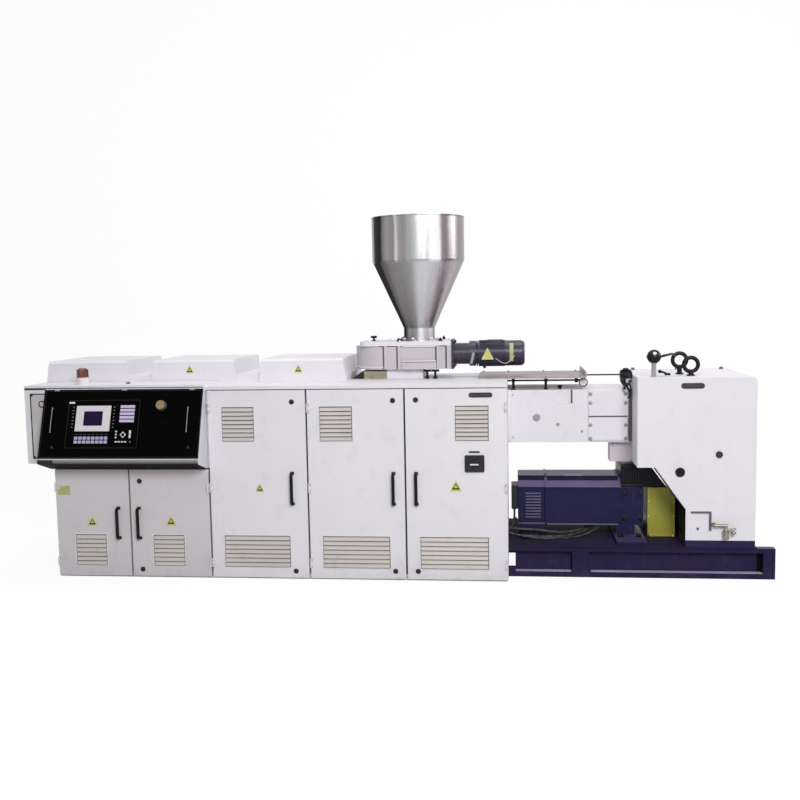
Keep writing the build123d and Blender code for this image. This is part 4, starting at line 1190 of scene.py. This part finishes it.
feeder = {"cornerBolts": (15, 303), "lip": (38, 272), "front": 69.4, "panel": 82, "round": -130,
          "ribs": (-97, -3, 264, 334), "panels": ((-128, -86), (-66, 8), (28, 275), (295, 345)),
          "screws": {"left": -190, "step": 106, "rows": (76, 434)}, "knob": (-179, 255, 1562.5)}


def feederDetails(bm):
    low, high = boxOf("feeder_top_plate")
    for y in (low[1] + 14, high[1] - 14):
        for x in feeder["cornerBolts"]:
            addHex(bm, 20, 12, (x, y, high[2]), washer=3)
            addRound(bm, [(0, 0), (6, 0), (6, 9), (5, 10), (0, 10)], (x, y, high[2] + 14), steps=16)


def feederSeams(bm):  # rolled lips along the trough
    low, high = boxOf("feeder_housing")
    left, right = feeder["lip"]
    for z in (low[2] + 52, high[2] - 9):
        addBox(bm, (left, feeder["front"], z), (right, 74, z + 8), 2.4, 2)
    collar = [(172.6, 0), (177, 0), (178.4, 3), (177, 6), (172.6, 6)]
    addRound(bm, collar, (feeder["round"], hopper["y"], low[2] + 12), steps=64, closed=True)


def feederRibShade(bm):  # painted shade: dark strips beside the ribs, under the top plate and under the lower lip
    low, high = boxOf("feeder_housing")
    y = feeder["panel"]
    for x in feeder["ribs"]:
        addBox(bm, (x, y - 1.2, low[2] + 4), (x + 12, y + 2, high[2] - 2), 0.5)
    for left, right in feeder["panels"]:
        addBox(bm, (left, y - 1.4, high[2] - 7), (right, y + 2, high[2] - 0.6), 0.5)
    left, right = feeder["lip"]
    addBox(bm, (left, 69, low[2] + 47), (right, 71, low[2] + 51), 0.5)


def plateScrew(bm):
    addHex(bm, 13, 7, (0, 0, 0), washer=1.6)


made("feederBolts", feederDetails, "iron", "machine")
made("feederLips", feederSeams, "white", "machine")
made("feederRibShade", feederRibShade, "darkGrey", "machine")
screws = feeder["screws"]
plateScrews = [gridOf(plateScrew, (screws["left"], y, hopper["plate"]), 6, (screws["step"], 0, 0))
               for y in screws["rows"]]
merged("plateScrews", plateScrews, "machine")


def knobDetails(bm):
    low, high = boxOf("feeder_knob")
    x, y, _ = middleOf(low, high)
    addRound(bm, [(0, 0), (13, 0), (13, 5), (9, 8), (0, 8)], (x, y, low[2]), steps=28)


def knobLobe(bm):
    addBox(bm, (-3, -3.2, 0), (1.6, 3.2, 13), 1.5, 2)


made("knobFoot", knobDetails, "iron", "machine")
keep("knobLobes", ringOf(knobLobe, 10, 20, (0, 0, 0), feeder["knob"], "iron"), None, "machine")

feederMotor = {"left": 555.0, "right": 875.0, "z": 1445.0, "y": 255.0, "radius": 86.0, "front": 163.0,
               "hoops": ((558, 6, 8), (736, 6, 5), (742, 2.2, 108)), "endRings": (22, 38, 54), "box": 670,
               "gearBolts": 541, "flange": 386, "flangeScrew": (84, 82), "band": (771, 797),
               "bandRadii": (88.1, 89.0)}


def motorAxis(x, y=0, z=0):  # a point measured from the feeder motor's axis
    return (x, feederMotor["y"] + y, feederMotor["z"] + z)


def fin(bm):
    addBox(bm, (-2, -1.7, 0), (5.5, 1.7, 168), 0.7)


def feederMotorTrim(bm):
    r, right = feederMotor["radius"], feederMotor["right"]
    for x, grow, wide in feederMotor["hoops"]:
        hoop = [(r - 2, x), (r + grow - 1, x), (r + grow, x + 1), (r + grow, x + wide - 1),
                (r + grow - 1, x + wide), (r - 2, x + wide)]
        addRound(bm, hoop, motorAxis(0), (1, 0, 0), 64, closed=True)
    for inner in feederMotor["endRings"]:
        ring = [(inner, right - 1), (inner + 6, right - 1), (inner + 6, right - 0.2), (inner, right - 0.2)]
        addRound(bm, ring, motorAxis(0), (1, 0, 0), 48, closed=True)
    addPlate(bm, roundedRect(104, 94, 6), motorAxis(feederMotor["box"], z=91.6), 3, 1, up=(0, 1, 0))


def driveScrews(bm):
    across, up = feederMotor["flangeScrew"]
    for y in (-across, across):
        for z in (-up, up):
            addHex(bm, 18, 9, motorAxis(feederMotor["flange"], y, z), (1, 0, 0), 2)


fins = ringOf(fin, 44, feederMotor["radius"], alongX, motorAxis(feederMotor["left"] + 12), "charcoal")
keep("feederMotorFins", fins, None, "machine")
made("feederMotorTrim", feederMotorTrim, "charcoal", "machine")
gearBolts = ringOf(lambda bm: addHex(bm, 14, 8, (0, 0, 0), washer=1.5), 8, 80, alongX,
                   motorAxis(feederMotor["gearBolts"]), "iron")
keep("gearUnitBolts", gearBolts, None, "machine")
made("driveFlangeScrews", driveScrews, "iron", "machine")


def motorSign(bm):
    addPlate(bm, roundedTriangle(88, 84, 7), (620, feederMotor["front"] - 0.5, 1447), 1.6, 0.4)


def motorSignBack(bm):  # blocks that hold the sign off the round body
    front = feederMotor["front"]
    addBox(bm, (600, front, 1412), (640, front + 9, 1424), 1)
    addBox(bm, (612, front, 1440), (628, front + 7, 1462), 1)


def motorTag(bm):
    addPlate(bm, [(498, 1378), (516, 1378), (533, 1452), (517, 1458)], (0, feederMotor["front"], 0), 1.6, 0.4)


def cowlBand(bm):  # pale strip round the cowl's front
    inner, outer = [], []
    for a in arc(128, 218, 12):
        for ring, r in zip((inner, outer), feederMotor["bandRadii"]):
            points = [Vector(motorAxis(x, r * math.cos(a), r * math.sin(a))) for x in feederMotor["band"]]
            ring.append([bm.verts.new(point * unit) for point in points])
    for i in range(12):
        for ring in (inner, outer):
            bm.faces.new((ring[i][0], ring[i][1], ring[i + 1][1], ring[i + 1][0]))
        for side in (0, 1):
            bm.faces.new((inner[i][side], outer[i][side], outer[i + 1][side], inner[i + 1][side]))
    for i in (0, 12):
        bm.faces.new((inner[i][0], inner[i][1], outer[i][1], outer[i][0]))


def motorGland(bm):
    profile = [(0, 0), (15, 0), (15, 12), (11, 16), (11, 30), (8, 34), (0, 34)]
    addRound(bm, profile, (598, 206, 1378), (0, 0, -1), 20)


made("motorSign", motorSign, "yellow", "machine")
made("motorSignBack", motorSignBack, "trim", "machine")
made("motorTag", motorTag, "lipGrey", "machine")
made("motorTagPost", lambda bm: addBox(bm, (516, 162, 1436), (526, 172, 1448), 1), "trim", "machine")
made("motorBand", cowlBand, "label", "machine")
made("motorGland", motorGland, "trim", "machine")

clamps = {"x": (207, 262), "y": 110, "foot": 1283, "bar": 1337, "reach": 20}
block = {"plate": (-130, 1309), "screws": (-149, -111), "shoulder": (128.8, 381.2),
         "wedge": [(-322.6, 1283.2), (-236, 1283.2), (-236, 1336.2), (-247.6, 1336.2)]}


def clampDetails(bm):
    for x in clamps["x"]:
        addHex(bm, 24, 12, (x, clamps["y"], clamps["foot"]), washer=3)
        for side in (-1, 1):
            addRound(bm, [(0, 0), (9.5, 0), (11, 3), (9.5, 6), (0, 6)],
                     (x + side * clamps["reach"], clamps["y"], clamps["bar"]), (side, 0, 0), 20)


def blockDetails(bm):
    front = boxOf("feed_block")[0][1]
    x, z = block["plate"]
    addPlate(bm, roundedRect(58, 44, 3), (x, front, z), 3, 1)
    for x in block["screws"]:
        addHex(bm, 10, 5, (x, front - 3, z), outward)


def blockShadeWedge(bm):  # painted shade: a black wedge in front of the brass block
    addBar(bm, block["wedge"], block["shoulder"], crosswise=True)


made("clampNuts", clampDetails, "iron", "machine")
made("blockPlate", blockDetails, "brass", "machine")
made("blockShadeWedge", blockShadeWedge, "trim", "machine")
print("feeder and hopper made")

# lantern, tray and lubrication

lantern = {"face": 38, "casting": 50, "boltRows": (1173, 1113, 964, 872), "boltColumns": (1308, 1541),
           "plugs": ((1092, 968, 12), (1252, 920, 9), (790, 1170, 5), (790, 880, 5)), "boss": (950, 1018),
           "covers": ((1295, 1026, 1556, 1196), (1295, 858, 1556, 1016))}


def lanternBolts(bm):
    for x in lantern["boltColumns"]:
        for z in lantern["boltRows"]:
            addHex(bm, 17, 8, (x, lantern["face"], z), outward, 2)
    for x, z, r in lantern["plugs"]:
        plug = [(0, 0), (r, 0), (r, 4), (r * 0.7, 5.5), (0, 5.5)]
        addRound(bm, plug, (x, lantern["casting"], z), outward, 18)
    x, z = lantern["boss"]
    addRound(bm, [(0, 0), (24, 0), (24, 1.5), (18, 3), (0, 3)], (x, lantern["face"], z), outward, 28)


def lanternTrim(bm):  # rims of the two covers and the lip beside the cabinets
    for left, bottom, right, top in lantern["covers"]:
        width, height = right - left, top - bottom
        middle = ((left + right) / 2, lantern["face"], (bottom + top) / 2)
        addPlate(bm, roundedRect(width - 4, height - 4, 5), middle, 1.6, 0.6,
                 hole=roundedRect(width - 52, height - 46, 4))
    addBox(bm, (757, 44, 850), (776, 50.5, 1200), 2, 2)


def lanternKnob(bm):
    addRound(bm, [(0, 0), (9, 0), (9, 10), (16, 14), (17, 22), (12, 28), (0, 29)], (1108, 90, 1203), steps=24)


def lanternGapShade(bm):  # painted shade: dark strips in the gap at the gearbox, in the notch, between the covers and along the lower cover's right edge
    addBox(bm, (1560, 44, 850), (1582, 50.5, 1200), 2, 2)
    addBox(bm, (1180, 52, 1112), (1197, 63, 1202), 1)
    addBox(bm, (1297, 37, 1017), (1554, 50, 1025), 0.5)
    addBox(bm, (1549, 36.6, 872), (1557, 38.4, 1012), 0.5)


made("lanternBolts", lanternBolts, "lipGrey", "machine")
made("lanternTrim", lanternTrim, "white", "machine")
made("lanternKnob", lanternKnob, "iron", "machine")
made("lanternGapShade", lanternGapShade, "darkGrey", "machine")

pipes = {
    "unions": ((1516, 34, 1268, 15), (1548, 30, 1238, 13), (1566, 34, 1258, 11), (1530, 32, 1214, 10)),
    "wide": [(1508, 30, 1262), (1524, 26, 1236), (1548, 28, 1220), (1566, 34, 1188)],
    "narrow": [(1560, 30, 1250), (1572, 28, 1214), (1566, 32, 1168), (1548, 44, 1140)],
    "pale": [(1530, 27, 1236), (1520, 24, 1206), (1538, 26, 1180), (1560, 34, 1170)],
}


def pipeFittings(bm):  # oil pipes and unions down the casting's right end
    for x, y, z, r in pipes["unions"]:
        addRound(bm, [(0, 0), (r, 0), (r, 12), (r * 0.7, 16), (0, 16)], (x, y, z), outward, 20)
    addTube(bm, smoothPath(pipes["wide"]), circle(7))
    addTube(bm, smoothPath(pipes["narrow"]), circle(5.5))


made("pipeFittings", pipeFittings, "trim", "machine")
made("palePipe", lambda bm: addTube(bm, smoothPath(pipes["pale"]), circle(5)), "lipGrey", "machine")

tray = {"top": 1293, "middleBolts": (760, 1013), "inset": 30}


def trayTrim(bm):
    low, high = boxOf("service_tray")
    start, length = low[0] + 6, high[0] - low[0] - 12
    addTube(bm, [(start + length * k / 6, low[1] + 3.4, tray["top"] - 3) for k in range(7)], circle(3.3, 10))
    for x in (low[0] + 26, *tray["middleBolts"], high[0] - 40):
        for y in (low[1] + tray["inset"], high[1] - tray["inset"]):
            addHex(bm, 12, 6, (x, y, tray["top"]), washer=1.6)


made("trayTrim", trayTrim, "tray", "machine")

line = {"y": 74, "posts": (795, 1013), "foot": 1203, "z": 1266, "gauge": (1262, 66, 1250), "union": 1206}
manifold = {"screws": (1517, 1569), "top": 1321, "cap": 1543, "plug": (1535, 44, 1297)}


def lubricationTrim(bm):
    y = line["y"]
    collar = [(9, 0), (14, 0), (14, 7), (12, 9), (9, 9)]
    sleeve = [(6, -11), (10.5, -11), (10.5, 11), (6, 11)]
    gaugeRim = [(24, 0), (30, 0), (30.6, 3), (29, 5), (25, 5), (24, 3)]
    oilCap = [(0, 0), (18, 0), (20, 6), (20, 16), (16, 22), (0, 23)]
    for x in line["posts"]:
        addRound(bm, collar, (x, y, line["foot"]), steps=24, closed=True)
        addRound(bm, sleeve, (x, y, line["z"]), (1, 0, 0), 20, closed=True)
    addRound(bm, gaugeRim, line["gauge"], outward, 36, closed=True)
    addHex(bm, 30, 22, (line["union"], y, line["z"]), (1, 0, 0))
    for x in manifold["screws"]:
        addHex(bm, 16, 9, (x, y, manifold["top"]), washer=2)
    addRound(bm, oilCap, (manifold["cap"], y, manifold["top"]), steps=28)
    addRound(bm, [(0, 0), (12, 0), (12, 12), (8, 16), (0, 16)], manifold["plug"], outward, 20)


def gaugeGlass(bm):
    addRound(bm, [(0, 0), (27, 0), (26, 3), (18, 7), (0, 9)], line["gauge"], outward, 32)


def supportTrim(bm):
    low, high = boxOf("lantern_support")
    addBox(bm, (low[0], low[1] - 0.5, low[2]), (high[0], low[1] + 8, low[2] + 12), 2, 2)
    for x in (low[0] + 26, high[0] - 26):
        addHex(bm, 18, 9, (x, low[1], high[2] - 26), outward, 2)


made("lubricationTrim", lubricationTrim, "iron", "machine")
made("gaugeGlass", gaugeGlass, "bezel", "machine")
made("supportTrim", supportTrim, "grey", "machine")

# gearbox fittings

gearbox = {"left": 1583.0, "front": -250.0, "top": 1300.0, "recess": (1920, 307, 132), "lift": 1.6,
           "roofBolts": (1640, 2250, 1945), "plug": (1852, 692), "sight": (2094, 807), "lever": (1800, -40)}


def gearboxTrim(bm):  # edge of the low recess, joint with the lantern and the roof sheet
    left, front, top = gearbox["left"], gearbox["front"], gearbox["top"]
    x, z, size = gearbox["recess"]
    addPlate(bm, roundedRect(size + 6, size + 6, 4), (x + size / 2, front, z + size / 2), 1.2, 0.5,
             hole=roundedRect(size - 1, size - 1, 2))
    addBox(bm, (left - 7, 60, 1098), (left + 0.4, 500, top), 1.5)
    addBox(bm, (left + 6, front + 12, top - 2.5), (2290, 560, top + gearbox["lift"]), 1.2)


def gearboxBolts(bm):
    addRound(bm, [(0, 0), (8, 0), (8, 5), (6, 7), (0, 7)], (1967, gearbox["front"] + 10, 323), outward, 18)
    for x in gearbox["roofBolts"]:
        addHex(bm, 22, 12, (x, 500, gearbox["top"] + gearbox["lift"]), washer=3)


def recessShade(bm):  # painted shade on the recess's top and right returns
    addBox(bm, (1924, -249.4, 425), (2050, -239, 438), 1)
    addBox(bm, (2037, -249.4, 313), (2050, -239, 426), 1)


def toeShade(bm):  # painted shade: a near-black sheet on the foot's left side, behind the guard
    addBox(bm, (1886.6, -247, 250), (1889.4, 588, 451), 0.8)


def gearboxLever(bm):
    x, y = gearbox["lever"]
    top = gearbox["top"]
    addRound(bm, [(0, 0), (20, 0), (20, 9), (14, 15), (0, 15)], (x, y, top), steps=24)
    route = [(x - 10, y, top + 12), (x - 30, y - 20, top + 22), (x - 52, y - 40, top + 30)]
    addTube(bm, smoothPath(route), circle(7))
    knob = [(0, 0), (11, 0), (12, 12), (8, 18), (0, 18)]
    addRound(bm, knob, (x - 50, y - 38, top + 26), (-0.6, -0.6, 0.3), 16)


def plugTrim(bm):
    front = gearbox["front"]
    x, z = gearbox["plug"]
    addRound(bm, [(26, 0), (31, 0), (31, 3), (29, 5), (26, 5)], (x, front, z), outward, 36, closed=True)
    addHex(bm, 26, 10, (x, front - 14, z), outward)
    x, z = gearbox["sight"]
    addRound(bm, [(15, 10), (21, 10), (20, 13), (16, 13)], (x, front, z), outward, 36, closed=True)


def sightGlass(bm):
    x, z = gearbox["sight"]
    addRound(bm, [(0, 9), (16, 9), (15, 11), (0, 12.4)], (x, gearbox["front"], z), outward, 32)


made("gearboxTrim", gearboxTrim, "white", "machine")
made("gearboxBolts", gearboxBolts, "darkGrey", "machine")
made("recessShade", recessShade, "darkGrey", "machine")
made("toeShade", toeShade, "shade", "machine")
made("gearboxLever", gearboxLever, "iron", "machine")
made("plugTrim", plugTrim, "iron", "machine")
made("sightGlass", sightGlass, "charcoal", "machine")

breather = {"x": 1696, "y": -160, "ball": 1431}


def breatherTrim(bm):  # band round the ball and the pipe to the eye bolts
    x, y, z = breather["x"], breather["y"], breather["ball"]
    addRound(bm, [(44.6, -5), (48, -5), (49, 0), (48, 5), (44.6, 5)], (x, y, z), steps=48, closed=True)
    route = [(x + 40, y, z - 1), (x + 80, y + 20, z + 7), (x + 130, y + 110, z + 9),
             (x + 160, y + 190, z - 7)]
    addTube(bm, smoothPath(route), circle(8))


def breatherStem(bm):
    profile = [(0, 0), (22, 0), (22, 5), (15.4, 9), (15.4, 84), (20, 88), (20, 92), (0, 92)]
    addRound(bm, profile, (breather["x"], breather["y"], gearbox["top"]), steps=28)


def breatherGlint(bm):
    # painted highlight: a pale spot on the front of the black ball
    profile = [(0, 40), (10, 40), (12, 45), (8, 49), (0, 50)]
    addRound(bm, profile, (breather["x"], breather["y"], breather["ball"]), (0, -0.86, 0.5), 28)


made("breatherTrim", breatherTrim, "iron", "machine")
made("breatherStem", breatherStem, "lipGrey", "machine")
made("breatherGlint", breatherGlint, "pale", "machine")

valve = {"x": 2136, "y": -284, "inlet": (2063, -254, 354), "nuts": (268, 310), "stem": 322, "lever": 330}


def valveTrim(bm):
    x, y = valve["x"], valve["y"]
    addHex(bm, 26, 14, valve["inlet"], outward)
    addRound(bm, [(0, 0), (11, 0), (11, 8), (8, 12), (0, 12)], (x, y, valve["stem"]), steps=20)
    addBox(bm, (x - 5, y - 9, valve["lever"]), (x + 62, y + 3, valve["lever"] + 7), 2, 2)
    knob = [(0, 0), (13, 0), (16, 4), (16, 14), (12, 18), (0, 18)]
    addRound(bm, knob, (x + 46, y - 3, 318), (0, 0, -1), 20)
    for z in valve["nuts"]:
        addHex(bm, 34, 10, (x, y, z))


made("valveTrim", valveTrim, "valve", "machine")
print("gearbox fittings made")

# main motor, cap, guard and junction box

motor = {"left": 821.0, "stator": 1009.0, "right": 1504.0, "front": 20.0, "fan": 28.0, "bottom": 285.0,
         "shoulder": 543.0, "top": 607.0, "slope": 85.0, "depth": 420.0, "louvres": (872, 332, 20.4)}


def motorSlat(bm):
    addBar(bm, [(0, 9), (-4.4, 6.6), (-5.8, 1.2), (-4.6, 0.4), (-3.2, 5.2), (0, 7)], (0, 104))


def motorTrim(bm):  # bands round the motor and the rim of its louvres
    front, rear = motor["front"], motor["front"] + motor["depth"]
    slope, shoulder, top, foot = motor["slope"], motor["shoulder"], motor["top"], motor["bottom"] + 5
    outline = [(front - 4, foot), (front - 4, shoulder + 2), (front + slope - 2, top + 4),
               (rear - slope + 2, top + 4), (rear + 4, shoulder + 2), (rear + 4, foot)]
    for x in (motor["stator"] - 6, motor["right"] - 8):
        addBar(bm, outline, (x, x + 12))
    addPlate(bm, roundedRect(122, 206, 6), (924, motor["fan"], 422), 2, 0.8, hole=roundedRect(110, 194, 4))


def motorHighlight(bm):
    # painted highlight: a pale patch on the motor's top
    addPlate(bm, roundedRect(126, 26, 12), (1200, 128, motor["top"]), 0.7, 0.2, up=(0, 1, 0))


def motorLips(bm):  # folded lips along the motor's lower edge, in a lighter blue that is painted light
    front, rear, foot = motor["front"], motor["front"] + motor["depth"], motor["bottom"]
    for y0, y1 in ((front - 5, front + 2), (rear - 2, rear + 5)):
        addBox(bm, (motor["stator"] + 8, y0, foot), (motor["right"] - 10, y1, foot + 9), 2, 2)
        addBox(bm, (motor["left"] + 4, y0 + 6, foot + 4), (motor["stator"] - 8, y1 + 1, foot + 13), 2, 2)


def bevelShadeBand(bm):  # painted shade: darker upper half of the front bevel
    rise = (motor["top"] - motor["shoulder"]) / motor["slope"]
    for y, start, end in ((motor["fan"], motor["left"] + 2, motor["stator"] - 8),
                          (motor["front"], motor["stator"] + 8, motor["right"] - 10)):
        corners = ((50, -1), (50, 1.6), (84, 1.6), (84, -1))  # along the bevel, and off it
        addBar(bm, [(y + s, motor["shoulder"] + s * rise + lift) for s, lift in corners], (start, end))


def motorBolts(bm):
    for x in (1532, 1640):
        for z in (330, 496):
            addHex(bm, 20, 11, (x, motor["fan"], z), outward, 2)
    for x in (845, 985):
        addHex(bm, 24, 13, (x, 14, 228), outward, 3)
    for x in (1500, 1616):
        addHex(bm, 26, 16, (x, -60, 226), washer=4)
    for x in (835, 990):
        for z in (312, 526):
            addRound(bm, [(0, 0), (6, 0), (5.4, 3), (0, 3.6)], (x, motor["fan"], z), outward, 16)


def statorRib(bm):
    addBox(bm, (0, -3, 0), (478, 1.5, 4), 1.2)


def motorShade(bm):  # dark joint between fan end and stator, and painted shade under the lower lip
    addBox(bm, (1000, 24.5, 300), (1008, 28.5, 541), 0.6)
    addBox(bm, (1012, 15.5, 283.4), (1500, 22, 285.6), 0.5)


left, foot, pitch = motor["louvres"]
motorLouvres = gridOf(motorSlat, (left, motor["fan"], foot), 1, (0, 0, 0), 9, (0, 0, pitch), "slat")
keep("motorLouvres", motorLouvres, None, "machine")
made("motorTrim", motorTrim, "motorBlue", "machine")
made("motorHighlight", motorHighlight, "lavender", "machine")
made("motorLips", motorLips, "lipBlueLit", "machine")
made("motorBand", bevelShadeBand, "deck", "machine")
made("motorBolts", motorBolts, "iron", "machine")
statorRibs = gridOf(statorRib, (1018, motor["front"], 527), 1, (0, 0, 0), 2, (0, 0, 9), "motorBlue")
keep("statorRibs", statorRibs, None, "machine")
made("motorShade", motorShade, "shade", "machine")


def capTrim(bm):
    low, high = boxOf("motor_cap")
    addBox(bm, (low[0] - 3, low[1] - 3, low[2] + 4), (low[0] + 150, high[1] + 3, low[2] + 16), 3, 2)
    addBox(bm, (low[0] + 8, low[1] + 8, high[2] - 2), (low[0] + 186, high[1] - 8, high[2] + 3), 3, 2)
    for x in (low[0] + 14, low[0] + 130):
        addHex(bm, 12, 6, (x, low[1], high[2] - 18), outward)


def capRib(bm):
    addBox(bm, (0, -2.5, 0), (6, 1, 78), 1.2)


made("capTrim", capTrim, "trim", "machine")
keep("capRibs", gridOf(capRib, (1528, 60, 568), 7, (16.5, 0, 0), look="trim"), None, "machine")

guard = {"foot": 200, "left": 533, "right": 474, "belt": 404, "studs": (240, 340, 440)}  # heights


def guardTrim(bm):  # folded edges, a belt and two feet
    (left, front, _), (right, rear, _) = boxOf("coupling_guard")
    foot = guard["foot"]
    for y0, y1 in ((front - 3, front + 1), (rear - 1, rear + 3)):
        addBox(bm, (left - 2, y0, foot), (right + 2, y1, foot + 14), 1.5, 2)
        addBox(bm, (left - 2, y0, foot), (left + 10, y1, guard["left"]), 1.5, 2)
        addBox(bm, (right - 10, y0, foot), (right + 2, y1, guard["right"]), 1.5, 2)
    addBox(bm, (left - 2, front - 2.5, guard["belt"]), (right + 2, front + 1, guard["belt"] + 8), 1.4, 2)
    for x in (left + 18, right - 22):
        addBox(bm, (x, front - 16, foot), (x + 22, front, foot + 6), 1.5)


def guardBolts(bm):
    low, high = boxOf("coupling_guard")
    for x in (low[0] + 29, high[0] - 11):
        addHex(bm, 13, 7, (x, low[1] - 9, guard["foot"] + 6), washer=1.6)
    for x in (low[0] + 5, high[0] - 5):
        for z in guard["studs"]:
            addRound(bm, [(0, 0), (5, 0), (4.4, 2.4), (0, 3)], (x, low[1] - 3, z), outward, 14)


def junctionTrim(bm):
    low, high = boxOf("motor_junction_box")
    x, _, z = middleOf(low, high)
    addPlate(bm, roundedRect(43, high[2] - low[2] - 6, 4), (x, low[1], z), 4, 1.4)
    for z in (low[2] + 18, high[2] - 18):
        for x in (low[0] + 8, high[0] - 8):
            addRound(bm, [(0, 0), (3.4, 0), (3, 2), (0, 2.4)], (x, low[1] - 4, z), outward, 12)
    addHex(bm, 22, 12, (796, 110, low[2]), (0, 0, -1), 2)


made("guardTrim", guardTrim, "olive", "machine")
made("guardBolts", guardBolts, "zinc", "machine")
made("junctionTrim", junctionTrim, "trim", "machine")
print("drive made")

# base frame, end flange, rear panels and seams

# dust: stretches of the lower flange that carry the pale strip of painted light
base = {"top": 200, "bolts": (800, 1120, 1420, 1700, 2080, 2310), "beads": (1170, 1275, 2376),
        "bead": (-258.5, 38, 13), "web": -211, "shades": ((2345, 2375), (1163, 1169.6)),
        "dust": ((802, 1162), (1290, 2374))}


def frameBolts(bm):
    for x in base["bolts"]:
        addHex(bm, 24, 12, (x, 570, base["top"]), washer=3)


def frameTrim(bm):  # weld beads along the frame's column and end
    y, foot, step = base["bead"]
    for x in base["beads"]:
        addTube(bm, [(x, y, foot + step * k) for k in range(11)], circle(3.6, 8))


def frameShade(bm):  # painted shade at the ends of the channel's recess and along the web under its upper flange
    web = base["web"]
    for left, right in base["shades"]:
        addBox(bm, (left, web - 0.4, 37), (right, web + 1.4, 169), 0.5)
    addBox(bm, (802, web, 160), (2372, web + 1.6, 169.6), 0.5)


def flangeLightStrip(bm):  # painted light: a pale strip along the top of the channel's lower flange
    for left, right in base["dust"]:
        addBox(bm, (left, -258.6, 35), (right, -213, 37.4), 0.6)


made("deckBolts", frameBolts, "iron", "machine")
made("frameTrim", frameTrim, "beam", "machine")
made("frameShade", frameShade, "shade", "machine")
made("flangeLightStrip", flangeLightStrip, "flange", "machine")

barrelEnd = {"middle": (-2449, 255, 1040), "bores": (217, 293), "boltCircle": 132}


def endRings(bm):  # liners of the two bores
    x, _, z = barrelEnd["middle"]
    for y in barrelEnd["bores"]:
        addRound(bm, [(46.5, 1.2), (54, 1.2), (54, 0.2), (46.5, 0.2)], (x, y, z), (1, 0, 0), 48, closed=True)


def socket(bm):
    addRound(bm, [(0, -3), (13, -3), (13, -0.4), (10, -0.4), (9, -2.6), (0, -2.6)], (0, 0, 0), steps=20)


made("boreLiners", endRings, "bright", "machine")
sockets = ringOf(socket, 8, barrelEnd["boltCircle"], (0, -math.pi / 2, 0), barrelEnd["middle"], "iron")
keep("flangeSockets", sockets, None, "machine")

rear = {"seams": (-2271, -1201, -541, 99, 755), "screwFace": 596, "inset": 34,
        "screwRows": ((50, 4, 650 / 3), (800, 3, 210)),  # foot, count and step
        "rimFace": 597.4, "covers": ((26, 724), (772, 1262)), "gap": 22, "rim": 92}
bays = list(zip(rear["seams"], rear["seams"][1:]))


def smallScrew(bm):
    profile = [(0, 0), (7, 0), (7, 1.2), (5.6, 2.8), (2.4, 3.4), (2.2, 2.2), (0, 2.2)]
    addRound(bm, profile, (0, 0, 0), (0, 1, 0), 16)


def rearPanels(bm):  # raised rims of the rear covers
    for left, right in bays:
        for bottom, top in rear["covers"]:
            middle = ((left + right) / 2, rear["rimFace"], (bottom + top) / 2)
            width, height = right - left - rear["gap"], top - bottom
            addPlate(bm, roundedRect(width, height, 8), middle, 2.2, 0.8, (-1, 0, 0), (0, 0, 1),
                     hole=roundedRect(width - rear["rim"], height - rear["rim"], 5))


rearScrews = []
for left, right in bays:
    across = right - left - 2 * rear["inset"]
    for foot, count, step in rear["screwRows"]:
        start = (left + rear["inset"], rear["screwFace"], foot)
        rearScrews.append(gridOf(smallScrew, start, 2, (across, 0, 0), count, (0, 0, step), "zinc"))
merged("rearScrews", rearScrews, "machine")
made("rearRims", rearPanels, "white", "machine")

hoods = {"left": -2441.5, "pitch": 756, "width": 603}
seals = {"depth": (-386.4, -383.2),  # middle, half width, foot and top of each
         "places": ((-1752, 14, 44, 742), (-1201, 9.6, 42, 742), (-541, 9.6, 42, 1258), (99, 9.6, 42, 1258))}


def hoodTrim(bm):  # folded feet of the three hoods
    for i in range(3):
        left = hoods["left"] + hoods["pitch"] * i
        addBox(bm, (left, -90.6, 1283.4), (left + hoods["width"], -84, 1291), 1.8, 2)


def roofTrim(bm):
    addBox(bm, (-1209, -410.6, 1277), (754, -405, 1283.2), 1.5, 2)


def cabinetSeals(bm):  # black door seals set back in the seams
    front, back = seals["depth"]
    for x, half, foot, top in seals["places"]:
        addBox(bm, (x - half, front, foot), (x + half, back, top), 1)


made("hoodFeet", hoodTrim, "white", "machine")
made("roofTrim", roofTrim, "white", "machine")
made("cabinetSeals", cabinetSeals, "trim", "machine")
print("frame and rear made")
